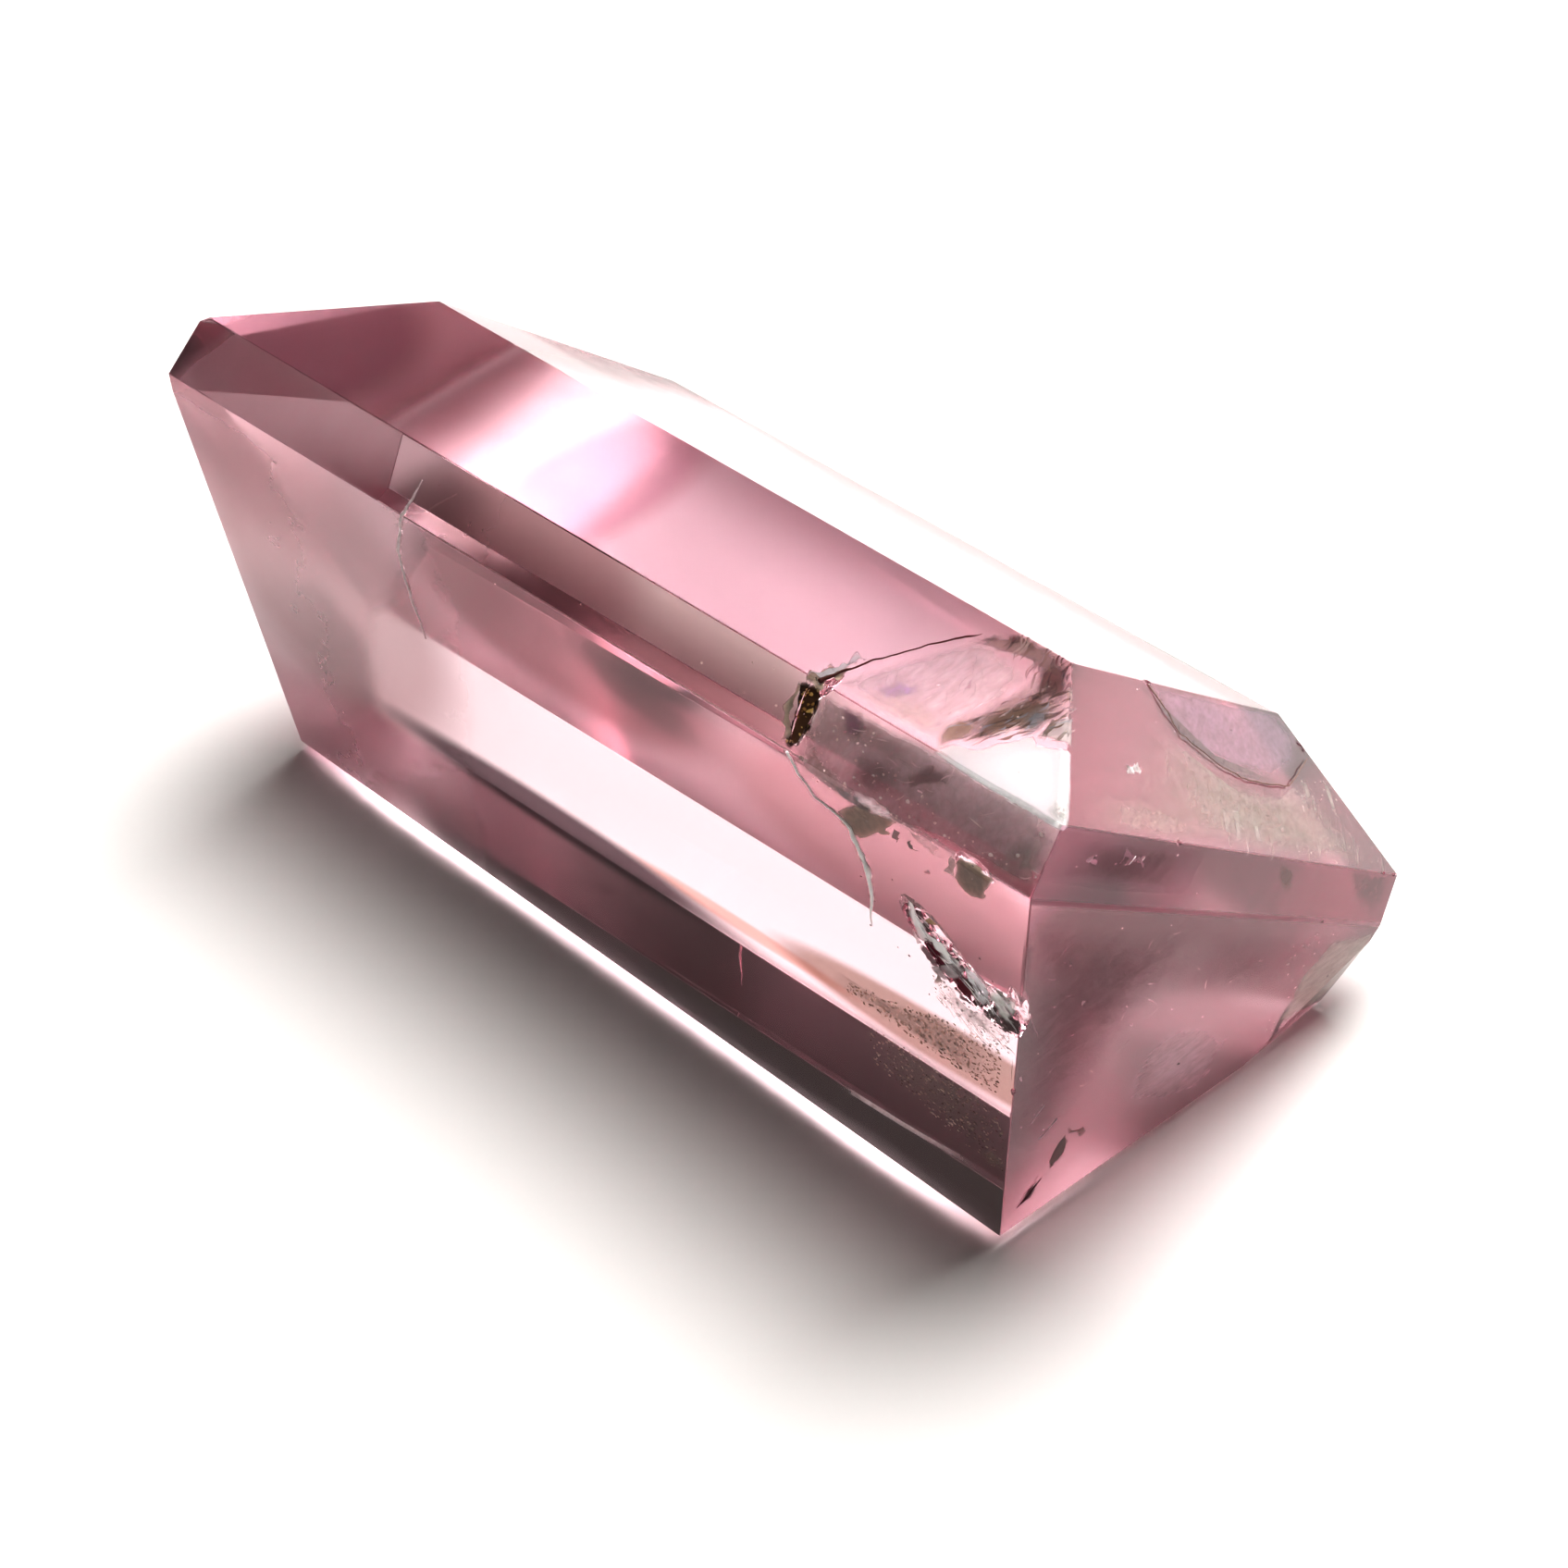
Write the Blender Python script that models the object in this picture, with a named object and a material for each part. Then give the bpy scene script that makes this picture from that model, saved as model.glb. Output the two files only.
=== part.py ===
# A long step-cut tourmaline lying on one side of its pavilion.
# A cutter places every facet by three settings, taken from the middle of the stone:
# the azimuth round the table's axis, the slope away from the table, and the distance out.
# Azimuth 0 is the chipped end, 90 the side it lies on, 180 the far end, 270 the upper side.
# Lengths are in millimetres and angles in degrees; the model itself is in metres.

import bpy
import bmesh
from math import cos, radians, sin
from mathutils import Matrix, Vector

MM = 0.001
ROUGH_SIZE = 40.0          # edge of the block that the facets are cut from

TABLE = (0.0, 0.0, 3.64)
CROWN = {
    "chipped_end": (0.1, 36.9, 7.04),
    "lying_side": (90.8, 35.2, 4.94),
    "far_end": (180.2, 38.5, 7.01),
    "upper_side": (268.9, 35.7, 4.91),
}
GIRDLE = {
    "chipped_end": (0.0, 84.0, 9.17),
    "lying_side": (91.0, 81.5, 5.89),
    "far_end": (180.0, 83.4, 9.17),
    "upper_side": (269.6, 85.2, 5.82),
}
PAVILION = {
    "chipped_end": (0.2, 97.2, 8.90),
    "lying_side": (90.0, 145.2, 3.90),
    "far_end": (179.5, 99.5, 8.92),
    "upper_side": (270.5, 133.8, 3.54),
}
RESTING_FACET = PAVILION["lying_side"]

# The bottom corner that broke off: three points of the break, with the stone lying down.
CORNER_BREAK = [(9.11, 4.53, 1.27), (8.81, 1.93, 0.15), (8.74, 4.39, 0.0)]

# Each scoop is a piece knocked out of the surface: its middle on the surface, the direction
# that it runs in, the way out of the stone there, and its half length, half width and depth.
SCOOPS = {
    "open_crack": {
        "middle": (4.79, -4.68, 8.40),
        "along": (0.14, -0.62, -0.76),
        "outward": (0.0, -0.78, 0.62),
        "size": (0.50, 0.12, 0.34),
    },
    "shell_break": {
        "middle": (7.72, -4.64, 5.74),
        "along": (0.84, 0.02, -0.52),
        "outward": (0.0, -0.99, -0.12),
        "size": (1.10, 0.38, 0.24),
    },
    "shell_break_foot": {
        "middle": (8.60, -4.58, 5.38),
        "along": (0.90, 0.10, -0.40),
        "outward": (0.35, -0.93, -0.12),
        "size": (0.50, 0.34, 0.22),
    },
    "girdle_nick_long": {
        "middle": (6.34, -5.09, 7.84),
        "along": (1.0, 0.0, 0.04),
        "outward": (0.0, -0.97, 0.23),
        "size": (0.42, 0.22, 0.10),
    },
    "girdle_nick_mid": {
        "middle": (7.12, -5.10, 7.92),
        "along": (1.0, 0.0, -0.1),
        "outward": (0.0, -0.96, 0.28),
        "size": (0.30, 0.12, 0.08),
    },
    "girdle_nick_end": {
        "middle": (8.18, -5.10, 7.90),
        "along": (1.0, 0.0, -0.12),
        "outward": (0.02, -0.97, 0.22),
        "size": (0.34, 0.24, 0.11),
    },
    "crown_nick": {
        "middle": (7.52, 4.30, 4.38),
        "along": (0.6, 0.5, -0.6),
        "outward": (0.45, 0.75, 0.48),
        "size": (0.35, 0.17, 0.10),
    },
}
SCOOP_DETAIL = 2           # subdivisions of each scoop's ball

STONE_COLOR = (0.80, 0.42, 0.52, 1.0)
STONE_ROUGHNESS = 0.03
STONE_IOR = 1.63


def clear_scene():
    for item in list(bpy.data.objects):
        bpy.data.objects.remove(item, do_unlink=True)


def facet_normal(facet):
    azimuth, slope, _ = facet
    return Vector((
        cos(radians(azimuth)) * sin(radians(slope)),
        sin(radians(azimuth)) * sin(radians(slope)),
        cos(radians(slope)),
    ))


def cut_flat(mesh, point, normal):
    """Takes off everything beyond a plane and closes the cut with one face."""
    parts = mesh.verts[:] + mesh.edges[:] + mesh.faces[:]
    cut = bmesh.ops.bisect_plane(
        mesh, geom=parts, dist=1e-9, plane_co=point, plane_no=normal, clear_outer=True
    )
    rim = [item for item in cut["geom_cut"] if isinstance(item, bmesh.types.BMEdge)]
    if rim:
        bmesh.ops.contextual_create(mesh, geom=rim)


def cut_stone():
    """The polished stone about its own middle, with the table up."""
    mesh = bmesh.new()
    bmesh.ops.create_cube(mesh, size=ROUGH_SIZE * MM)
    facets = [TABLE, *CROWN.values(), *GIRDLE.values(), *PAVILION.values()]
    for facet in facets:
        normal = facet_normal(facet)
        cut_flat(mesh, normal * facet[2] * MM, normal)
    return mesh


def lay_down(mesh):
    """Turns the stone onto its resting facet and puts the bottom middle of its box at the origin."""
    down = facet_normal(RESTING_FACET)
    length = Vector((1.0, 0.0, 0.0))
    turn = Matrix((length, (-down).cross(length), -down))
    bmesh.ops.transform(mesh, matrix=turn.to_4x4(), verts=mesh.verts)
    low = Vector([min(vert.co[axis] for vert in mesh.verts) for axis in range(3)])
    high = Vector([max(vert.co[axis] for vert in mesh.verts) for axis in range(3)])
    bottom_middle = Vector(((low.x + high.x) / 2, (low.y + high.y) / 2, low.z))
    bmesh.ops.translate(mesh, vec=-bottom_middle, verts=mesh.verts)


def break_corner(mesh):
    a, b, c = [Vector(point) * MM for point in CORNER_BREAK]
    normal = (b - a).cross(c - a).normalized()
    if normal.x < 0:
        normal.negate()
    cut_flat(mesh, a, normal)


def make_object(name, mesh):
    bmesh.ops.recalc_face_normals(mesh, faces=mesh.faces)
    data = bpy.data.meshes.new(name)
    mesh.to_mesh(data)
    mesh.free()
    item = bpy.data.objects.new(name, data)
    bpy.context.scene.collection.objects.link(item)
    return item


def scoop_cutter(name, scoop):
    """A flattened ball, centred on the surface, whose lower half is the hollow."""
    along = Vector(scoop["along"]).normalized()
    outward = Vector(scoop["outward"])
    outward = (outward - along * outward.dot(along)).normalized()
    across = outward.cross(along)
    size = Matrix.Diagonal(Vector(scoop["size"]) * MM)
    place = Matrix((along, across, outward)).transposed() @ size
    mesh = bmesh.new()
    bmesh.ops.create_icosphere(mesh, subdivisions=SCOOP_DETAIL, radius=1.0)
    bmesh.ops.transform(mesh, matrix=place.to_4x4(), verts=mesh.verts)
    bmesh.ops.translate(mesh, vec=Vector(scoop["middle"]) * MM, verts=mesh.verts)
    cutter = make_object(name, mesh)
    cutter.hide_render = True
    cutter.display_type = "WIRE"
    return cutter


def stone_material():
    material = bpy.data.materials.new("pink_tourmaline")
    material.use_nodes = True
    shader = material.node_tree.nodes["Principled BSDF"]
    shader.inputs["Base Color"].default_value = STONE_COLOR
    shader.inputs["Roughness"].default_value = STONE_ROUGHNESS
    shader.inputs["Metallic"].default_value = 0.0
    shader.inputs["IOR"].default_value = STONE_IOR
    shader.inputs["Transmission Weight"].default_value = 1.0
    return material


def build_tourmaline():
    mesh = cut_stone()
    lay_down(mesh)
    break_corner(mesh)
    stone = make_object("tourmaline", mesh)
    stone.data.materials.append(stone_material())
    for name, scoop in SCOOPS.items():
        knock_out = stone.modifiers.new(name, "BOOLEAN")
        knock_out.operation = "DIFFERENCE"
        knock_out.solver = "EXACT"
        knock_out.object = scoop_cutter(name, scoop)
    return stone


clear_scene()
build_tourmaline()
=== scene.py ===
import bmesh
import bpy
import numpy as np
from mathutils import Matrix, Vector


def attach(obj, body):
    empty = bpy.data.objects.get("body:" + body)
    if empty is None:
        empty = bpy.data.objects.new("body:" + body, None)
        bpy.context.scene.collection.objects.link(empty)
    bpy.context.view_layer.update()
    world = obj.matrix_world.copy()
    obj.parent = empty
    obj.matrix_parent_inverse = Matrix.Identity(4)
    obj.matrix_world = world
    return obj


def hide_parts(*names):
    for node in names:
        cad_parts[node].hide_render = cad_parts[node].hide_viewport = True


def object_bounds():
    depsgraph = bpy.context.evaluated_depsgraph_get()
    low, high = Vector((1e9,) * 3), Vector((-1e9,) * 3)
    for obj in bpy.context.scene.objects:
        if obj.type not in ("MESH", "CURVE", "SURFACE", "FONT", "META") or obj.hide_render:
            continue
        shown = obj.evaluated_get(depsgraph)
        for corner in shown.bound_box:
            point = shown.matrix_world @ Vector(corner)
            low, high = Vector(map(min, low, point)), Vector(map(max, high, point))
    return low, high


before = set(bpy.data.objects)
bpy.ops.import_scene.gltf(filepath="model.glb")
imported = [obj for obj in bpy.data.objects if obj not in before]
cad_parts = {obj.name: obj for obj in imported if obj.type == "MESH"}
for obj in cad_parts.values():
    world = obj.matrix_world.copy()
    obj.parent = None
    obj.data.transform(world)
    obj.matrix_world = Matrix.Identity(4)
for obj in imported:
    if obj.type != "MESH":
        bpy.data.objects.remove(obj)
cadBox = [list(corner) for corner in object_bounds()]
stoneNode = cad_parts["tourmaline"]
mm = 0.001
print("frame loaded")


class Wire:
    # an output socket that sums, differences and products can be written with
    def __init__(self, tree, socket):
        self.tree = tree
        self.socket = socket

    def combine(self, operation, other, swapped=False):
        first, second = (other, self) if swapped else (self, other)
        return self.tree.node("ShaderNodeMath", {"operation": operation}, {0: first, 1: second})

    def __add__(self, other):
        return self.combine("ADD", other)

    def __radd__(self, other):
        return self.combine("ADD", other, True)

    def __sub__(self, other):
        return self.combine("SUBTRACT", other)

    def __rsub__(self, other):
        return self.combine("SUBTRACT", other, True)

    def __mul__(self, other):
        return self.combine("MULTIPLY", other)

    def __rmul__(self, other):
        return self.combine("MULTIPLY", other, True)


class Tree:
    # the node tree of one material; it feeds sockets with plain values or with wires
    def __init__(self, name):
        self.material = bpy.data.materials.new(name)
        self.material.use_nodes = True
        self.nodes = self.material.node_tree.nodes
        self.links = self.material.node_tree.links
        self.shader = self.nodes["Principled BSDF"]
        self.output = self.nodes["Material Output"]

    def feed(self, socket, value):
        if isinstance(value, Wire):
            self.links.new(value.socket, socket)
        else:
            socket.default_value = value

    def node(self, kind, settings=None, values=None, output=0):
        made = self.nodes.new(kind)
        for name, value in (settings or {}).items():
            setattr(made, name, value)
        for name, value in (values or {}).items():
            self.feed(made.inputs[name], value)
        return Wire(self, made.outputs[output])

    def place(self):
        # place on the stone in millimetres
        here = self.node("ShaderNodeTexCoord", output=3)
        return self.node("ShaderNodeVectorMath", {"operation": "SCALE"}, {0: here, "Scale": 1000.0})

    def dot(self, vector, direction):
        # how far the vector reaches along the direction
        settings = {"operation": "DOT_PRODUCT"}
        return self.node("ShaderNodeVectorMath", settings, {0: vector, 1: direction}, output=1)

    def step(self, value, low, high):
        # rises smoothly from 0 at low to 1 at high
        settings = {"interpolation_type": "SMOOTHSTEP"}
        inputs = {"Value": value, "From Min": low, "From Max": high, "To Min": 0.0, "To Max": 1.0}
        if low > high:
            inputs.update({"From Min": high, "From Max": low, "To Min": 1.0, "To Max": 0.0})
        return self.node("ShaderNodeMapRange", settings, inputs)

    def noise(self, vector, scale, detail, roughness, distortion=0.0):
        values = {"Vector": vector, "Scale": scale, "Detail": detail, "Roughness": roughness}
        values["Distortion"] = distortion
        return self.node("ShaderNodeTexNoise", None, values)

    def mix(self, factor, first, second, blend="MIX"):
        settings = {"data_type": "RGBA", "blend_type": blend}
        return self.node("ShaderNodeMix", settings, {0: factor, 6: first, 7: second}, output=2)

    def set(self, **values):
        # base_color feeds the shader's Base Color, coat_ior its Coat IOR, and so on
        for name, value in values.items():
            label = name.replace("_", " ").title().replace("Ior", "IOR")
            self.feed(self.shader.inputs[label], value)


def unit(vector):
    # the same direction with length 1
    vector = np.array(vector, float)
    return vector / np.linalg.norm(vector)


def seedOf(name):
    # a seed that belongs to a name: the sum of its letters' codes
    return sum(ord(letter) for letter in name)


def linked(name, data):
    # a new object in the scene's collection, at the origin
    item = bpy.data.objects.new(name, data)
    bpy.context.scene.collection.objects.link(item)
    return item


def meshObject(name, places, faces):
    # places in millimetres
    mesh = bpy.data.meshes.new(name)
    mesh.from_pydata((places * mm).tolist(), [], faces)
    return linked(name, mesh)


camera = {
    "place": (0.025019, -0.027049, 0.031959),
    "target": (0.001995, -0.001999, 0.004000),
    "rollDegrees": 2.381,
    "lens": 64.556,     # mm, on a sensor 36 mm wide
}


def makeCamera(setup):
    # looks from place to target, then turns about its own axis by the roll
    data = bpy.data.cameras.new("camera")
    data.lens = setup["lens"]
    data.sensor_width = 36.0
    data.clip_start = 0.001
    data.clip_end = 10.0
    holder = linked("camera", data)
    place, target = Vector(setup["place"]), Vector(setup["target"])
    turn = (target - place).to_track_quat("-Z", "Y").to_matrix().to_4x4()
    roll = Matrix.Rotation(np.radians(setup["rollDegrees"]), 4, "Z")
    holder.matrix_world = Matrix.Translation(place) @ turn @ roll
    bpy.context.scene.camera = holder


makeCamera(camera)


stone = {
    "roughEdge": 60.0,      # edge of the block that is cut down, mm
    "edgeRound": 0.018,     # width of the worn edges, mm
    "edgeProfile": 0.6,     # 0.5 is a quarter circle
    "samePlane": (0.99998, 0.004),  # faces lie in one plane at this cosine and this distance, mm
    "mergeReach": 0.012,    # corners closer than this are one corner, mm
    "leastFacet": 0.9,      # area of the smallest polished facet, square mm
    "ior": 1.648,
    "absorbColor": (0.933, 0.31, 0.475, 1),
    "absorbDensity": 36.0,
    "skin": (-0.014, -0.004),       # a surface from here on below a facet's plane belongs to it, mm
    "frost": {"endCrown": 0.17, "endGirdle": 0.20, "endPavilion": 0.22},    # roughness of facets
    "farReach": (0.5, 8.5),         # the haze of the far half starts and is full here, mm past the middle
    "farLevel": (8.2, 7.2),         # and it starts and is full here, mm above the underside
    "farFrost": 0.32,
    "crownReach": (5.5, 11.0),      # the haze along the crown starts and is full here, mm
    "crownFrost": 0.13,
    "crownGloss": 0.4,              # polish over the frost of the end's crown facet
    "glossRoughness": 0.02,
    "glossIor": 1.5,
    "wear": (0.5, 0.75),            # the roughness is times noise * the first + the second
}


def cloudNoise(points, cell, seed):
    # value noise: random numbers on a cubic lattice, blended between its corners by t * t * (3 - 2 * t)
    side, shift = 24, 400.0
    table = np.random.default_rng(seed).uniform(-1, 1, (side, side, side))
    place = np.asarray(points) / cell + shift
    low = np.floor(place).astype(int)
    part = place - low
    blend = part * part * (3 - 2 * part)
    value = np.zeros(place.shape[:-1])
    for corner in range(8):
        step = np.array([corner & 1, corner >> 1 & 1, corner >> 2 & 1])
        index = (low + step) % side
        weight = np.prod(np.where(step, blend, 1 - blend), axis=-1)
        value += weight * table[index[..., 0], index[..., 1], index[..., 2]]
    return value


def gridFaces(rows, columns, around):
    # one quad per cell; around joins the last column to the first
    count = columns if around else columns - 1
    row, column = np.meshgrid(np.arange(rows - 1), np.arange(count), indexing="ij")
    after = (column + 1) % columns
    corners = [row * columns + column, row * columns + after]
    corners += [(row + 1) * columns + after, (row + 1) * columns + column]
    return np.stack(corners, axis=-1).reshape(-1, 4).tolist()


def surfaceObject(name, points, around=False, poles=False):
    # points[row, column] in millimetres; poles close the first and last row with a fan
    rows, columns = points.shape[:2]
    places = points.reshape(-1, 3)
    faces = gridFaces(rows, columns, around)
    if poles:
        first, last = len(places), len(places) + 1
        places = np.vstack([places, points[0].mean(0), points[-1].mean(0)])
        ring = np.arange(columns)
        after = (ring + 1) % columns
        base = (rows - 1) * columns
        faces += np.stack([np.full(columns, first), after, ring], axis=-1).tolist()
        faces += np.stack([np.full(columns, last), base + ring, base + after], axis=-1).tolist()
    return meshObject(name, places, faces)


def outwardFaces(item):
    # welds points that coincide, then turns every face outwards
    work = bmesh.new()
    work.from_mesh(item.data)
    bmesh.ops.remove_doubles(work, verts=work.verts, dist=1e-8)
    bmesh.ops.recalc_face_normals(work, faces=work.faces)
    work.to_mesh(item.data)
    work.free()


shells = {
    # middle on the surface, run and way out, then half length, half width and depth in mm,
    # rings, roughness, squareness
    "shellTop": ((7.42, -4.66, 5.98), (0.80, 0.02, -0.60), (0, -0.99, -0.12),
                 (0.80, 0.34, 0.22), 4, 0.05, 1.0),
    "shellMiddle": ((7.95, -4.60, 5.52), (0.88, 0.02, -0.45), (0.1, -0.99, -0.12),
                    (0.72, 0.36, 0.27), 5, 0.06, 1.0),
    "shellFoot": ((8.55, -4.58, 5.38), (0.90, 0.1, -0.40), (0.35, -0.93, -0.12),
                  (0.50, 0.34, 0.22), 3, 0.09, 0.9),
    "shellCorner": ((8.86, -4.62, 5.62), (0.25, 0.1, -0.95), (0.60, -0.80, 0.0),
                    (0.42, 0.16, 0.12), 2, 0.12, 0.9),
    "girdleFlatLeft": ((6.38, -5.09, 7.86), (1, 0, 0.02), (0, -0.97, 0.22),
                       (0.36, 0.22, 0.10), 0, 0.10, 0.55),
    "girdleFlatLow": ((6.10, -5.03, 7.66), (1, 0, 0.2), (0, -0.99, -0.05),
                      (0.26, 0.13, 0.06), 0, 0.16, 0.7),
    "girdleBite": ((6.98, -5.11, 7.90), (1, 0, -0.1), (0, -0.96, 0.28),
                   (0.17, 0.12, 0.08), 0, 0.16, 0.8),
    "girdleBiteNext": ((7.32, -5.10, 7.93), (1, 0, -0.1), (0, -0.96, 0.28),
                       (0.12, 0.08, 0.06), 0, 0.16, 0.8),
    "girdleFlatRight": ((8.18, -5.10, 7.90), (1, 0, -0.12), (0.02, -0.97, 0.22),
                        (0.34, 0.24, 0.11), 0, 0.08, 0.5),
    "crownBite": ((7.52, 4.30, 4.38), (0.6, 0.5, -0.6), (0.45, 0.75, 0.48),
                  (0.35, 0.17, 0.10), 2, 0.10, 0.9),
    "crownPit": ((6.93, 0.30, 7.56), (0.2, 0.6, -0.7), (0.4, 0.5, 0.75),
                 (0.13, 0.07, 0.06), 0, 0.15, 0.9),
    "crackMouth": ((4.78, -4.66, 8.42), (0.14, -0.62, -0.76), (0.0, -0.78, 0.62),
                   (0.46, 0.12, 0.34), 0, 0.14, 0.8),
    "crackMouthTop": ((4.86, -4.36, 8.78), (0.15, 0.9, 0.0), (0.0, -0.5, 0.85),
                      (0.30, 0.075, 0.20), 0, 0.14, 0.8),
}
breakLook = {
    # in half lengths of the shell: where the break began, how high its rings stand, its lumps' sizes
    "start": (-0.9, 0.0, -0.2),
    "ringHeight": 0.035,
    "lumps": (0.45, 0.2),
}


def shellCutter(name, spec):
    # a ball pushed in and out by rings about the point where the break began, and by noise,
    # then flattened and set on the surface
    middle, along, outward, size, rings, rough, square = spec
    along = unit(along)
    outward = unit(outward - along * np.dot(outward, along))
    across = np.cross(outward, along)
    down = np.linspace(0, np.pi, 26)[1:-1, None]
    around = np.linspace(0, 2 * np.pi, 56, endpoint=False)[None, :]
    ball = [np.sin(down) * np.cos(around), np.sin(down) * np.sin(around), np.cos(down) + 0 * around]
    ball = np.stack(ball, -1)
    ball = np.sign(ball) * np.abs(ball) ** square
    reach = np.linalg.norm(ball - np.array(breakLook["start"]), axis=-1)
    swell = 1 + breakLook["ringHeight"] * np.cos(2 * np.pi * rings * reach) * (rings > 0)
    seed = seedOf(name)
    coarse, fine = breakLook["lumps"]
    swell += rough * cloudNoise(ball, coarse, seed) + 0.5 * rough * cloudNoise(ball, fine, seed + 1)
    ball = ball * swell[..., None] * np.array(size)
    points = np.array(middle) + ball @ np.array([along, across, outward])
    return surfaceObject(name, points, around=True, poles=True)


pathStep = 0.035       # mm
wander = {"reach": 0.02, "cell": 0.16}     # how far a crack strays from its path and how often, mm

grooves = {
    # path along the surface, radius at each point, both in mm, and how much the radius varies
    "crackOnCrown": (((5.60, -2.00, 8.86), (5.52, -2.18, 8.86), (5.26, -2.75, 8.85),
                      (4.94, -3.63, 8.83), (4.83, -4.07, 8.82), (4.76, -4.40, 8.82)),
                     (0.006, 0.022, 0.012, 0.016, 0.026, 0.050), 0.25),
    "crackOnPavilion": (((4.84, -5.05, 7.99), (5.00, -4.985, 7.69), (5.29, -4.945, 7.42),
                         (5.72, -4.93, 7.34), (5.93, -4.905, 7.21), (6.18, -4.815, 6.64),
                         (6.23, -4.745, 6.21), (6.19, -4.625, 5.41)),
                        (0.03, 0.026, 0.026, 0.034, 0.048, 0.062, 0.046, 0.008), 0.25),
    "crackOnEnd": (((6.96, 0.25, 7.56), (7.60, 0.33, 6.93), (7.94, 1.05, 6.12),
                    (8.05, 1.69, 5.56), (8.03, 2.87, 4.78), (7.55, 4.13, 4.34)),
                   (0.012, 0.008, 0.010, 0.012, 0.012, 0.008), 0.25),
    "farCrack": (((-2.87, -4.96, 8.66), (-3.05, -5.10, 8.20), (-3.26, -5.07, 7.91),
                  (-3.60, -4.91, 6.90), (-3.51, -4.77, 6.00), (-3.36, -4.66, 5.30)),
                 (0.012, 0.026, 0.036, 0.044, 0.036, 0.010), 0.2),
    "cornerLine": (((8.55, -3.12, 0.93), (8.50, -3.36, 0.66), (8.46, -3.50, 0.50)),
                   (0.006, 0.022, 0.008), 0.3),
    "scratchLong": (((8.97, -4.15, 3.15), (8.95, -3.85, 3.32)), (0.006, 0.007), 0.3),
    "scratchShort": (((8.72, -3.55, 2.20), (8.76, -3.20, 2.42)), (0.010, 0.012), 0.3),
}


def pathAlong(points, radii, step):
    # even steps along the straight pieces of the path, with the radius blended between its points
    points, radii = np.array(points, float), np.array(radii, float)
    length = np.concatenate([[0], np.cumsum(np.linalg.norm(np.diff(points, axis=0), axis=1))])
    count = max(4, int(length[-1] / step))
    run = np.linspace(0, length[-1], count)
    path = np.stack([np.interp(run, length, points[:, axis]) for axis in range(3)], -1)
    return path, np.interp(run, length, radii)


def rodSurface(name, path, radius, wobble, seed, sides=10):
    # a circle carried along the path: centre + radius * (cos * side + sin * up)
    tangent = np.gradient(path, axis=0)
    tangent /= np.linalg.norm(tangent, axis=1)[:, None]
    up = np.cross(tangent, np.array([0.31, 0.17, 0.93]))     # no path runs along this direction
    up /= np.linalg.norm(up, axis=1)[:, None]
    side = np.cross(up, tangent)
    turn = np.linspace(0, 2 * np.pi, sides, endpoint=False)[None, :, None]
    ring = np.cos(turn) * side[:, None] + np.sin(turn) * up[:, None]
    points = path[:, None] + ring * radius[:, None, None]
    swell = wobble * cloudNoise(points, 0.11, seed)[..., None]
    points = path[:, None] + ring * (radius[:, None, None] * (1 + swell))
    return surfaceObject(name, points, around=True, poles=True)


def groovePath(name):
    # the path's even points, each moved by noise of its own along x, y and z
    points, radii, wobble = grooves[name]
    path, radius = pathAlong(points, radii, pathStep)
    seed = seedOf(name)
    stray = [cloudNoise(path, wander["cell"], seed + axis) for axis in range(3)]
    return path + wander["reach"] * np.stack(stray, -1), radius, wobble, seed


def grooveCutter(name):
    # a rod along the groove's path, twice as uneven as its filling
    path, radius, wobble, seed = groovePath(name)
    return rodSurface(name, path, radius, wobble * 2, seed)


nickedEdges = {
    # from, to, way out, how far out the rod lies and how much its radius varies, in mm
    "girdleFoot": ((5.35, -5.12, 7.82), (9.12, -5.06, 8.05), (0.0, -0.97, 0.24), 0.055, 0.055),
    "endCorner": ((9.15, -5.04, 8.02), (8.395, -3.765, 0.03), (0.66, -0.75, -0.05), 0.065, 0.060),
    "girdleTop": ((6.2, -4.40, 8.85), (9.02, -4.38, 8.86), (0.0, -0.45, 0.89), 0.045, 0.030),
    "endGirdleTop": ((9.035, -4.30, 8.80), (9.036, 5.02, 2.30), (0.85, 0.25, 0.40), 0.050, 0.040),
    "endGirdleFoot": ((9.147, -4.90, 7.95), (9.128, 4.65, 1.50), (0.99, 0.0, 0.0), 0.045, 0.032),
    "crownCorner": ((6.93, -1.64, 8.86), (9.03, -4.35, 8.85), (0.4, 0.3, 0.87), 0.040, 0.026),
}


nicks = {
    "step": 0.03,                   # along the edge, mm
    "cells": (0.22, 0.09, 0.9),     # sizes of the bites, of their rims and of the whole stretches, mm
    "rim": 0.6,                     # strength of the rims beside the bites
    "gate": (1.5, 0.35),            # how much of a stretch is bitten: noise * the first + the second
    "rest": 0.80,                   # radius between the bites, as a share of the way out
    "least": 0.01,                  # smallest radius, mm
    "wobble": 0.35,
}


def nickCutter(name, spec):
    # a rod beside the edge whose radius swells here and there until it bites the edge:
    # way out * rest + bite * (coarse noise + fine noise) * gate
    start, end, outward, offset, bite = spec
    path, _ = pathAlong((start, end), (1, 1), nicks["step"])
    path = path + unit(outward) * offset
    seed = seedOf(name)
    coarse, fine, stretch = nicks["cells"]
    noise = cloudNoise(path, coarse, seed) + nicks["rim"] * cloudNoise(path, fine, seed + 5)
    gate = np.clip(cloudNoise(path, stretch, seed + 9) * nicks["gate"][0] + nicks["gate"][1], 0, 1)
    radius = offset * nicks["rest"] + bite * np.clip(noise, -0.4, 2) * gate
    return rodSurface(name, path, np.maximum(radius, nicks["least"]), nicks["wobble"], seed, 8)


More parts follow.
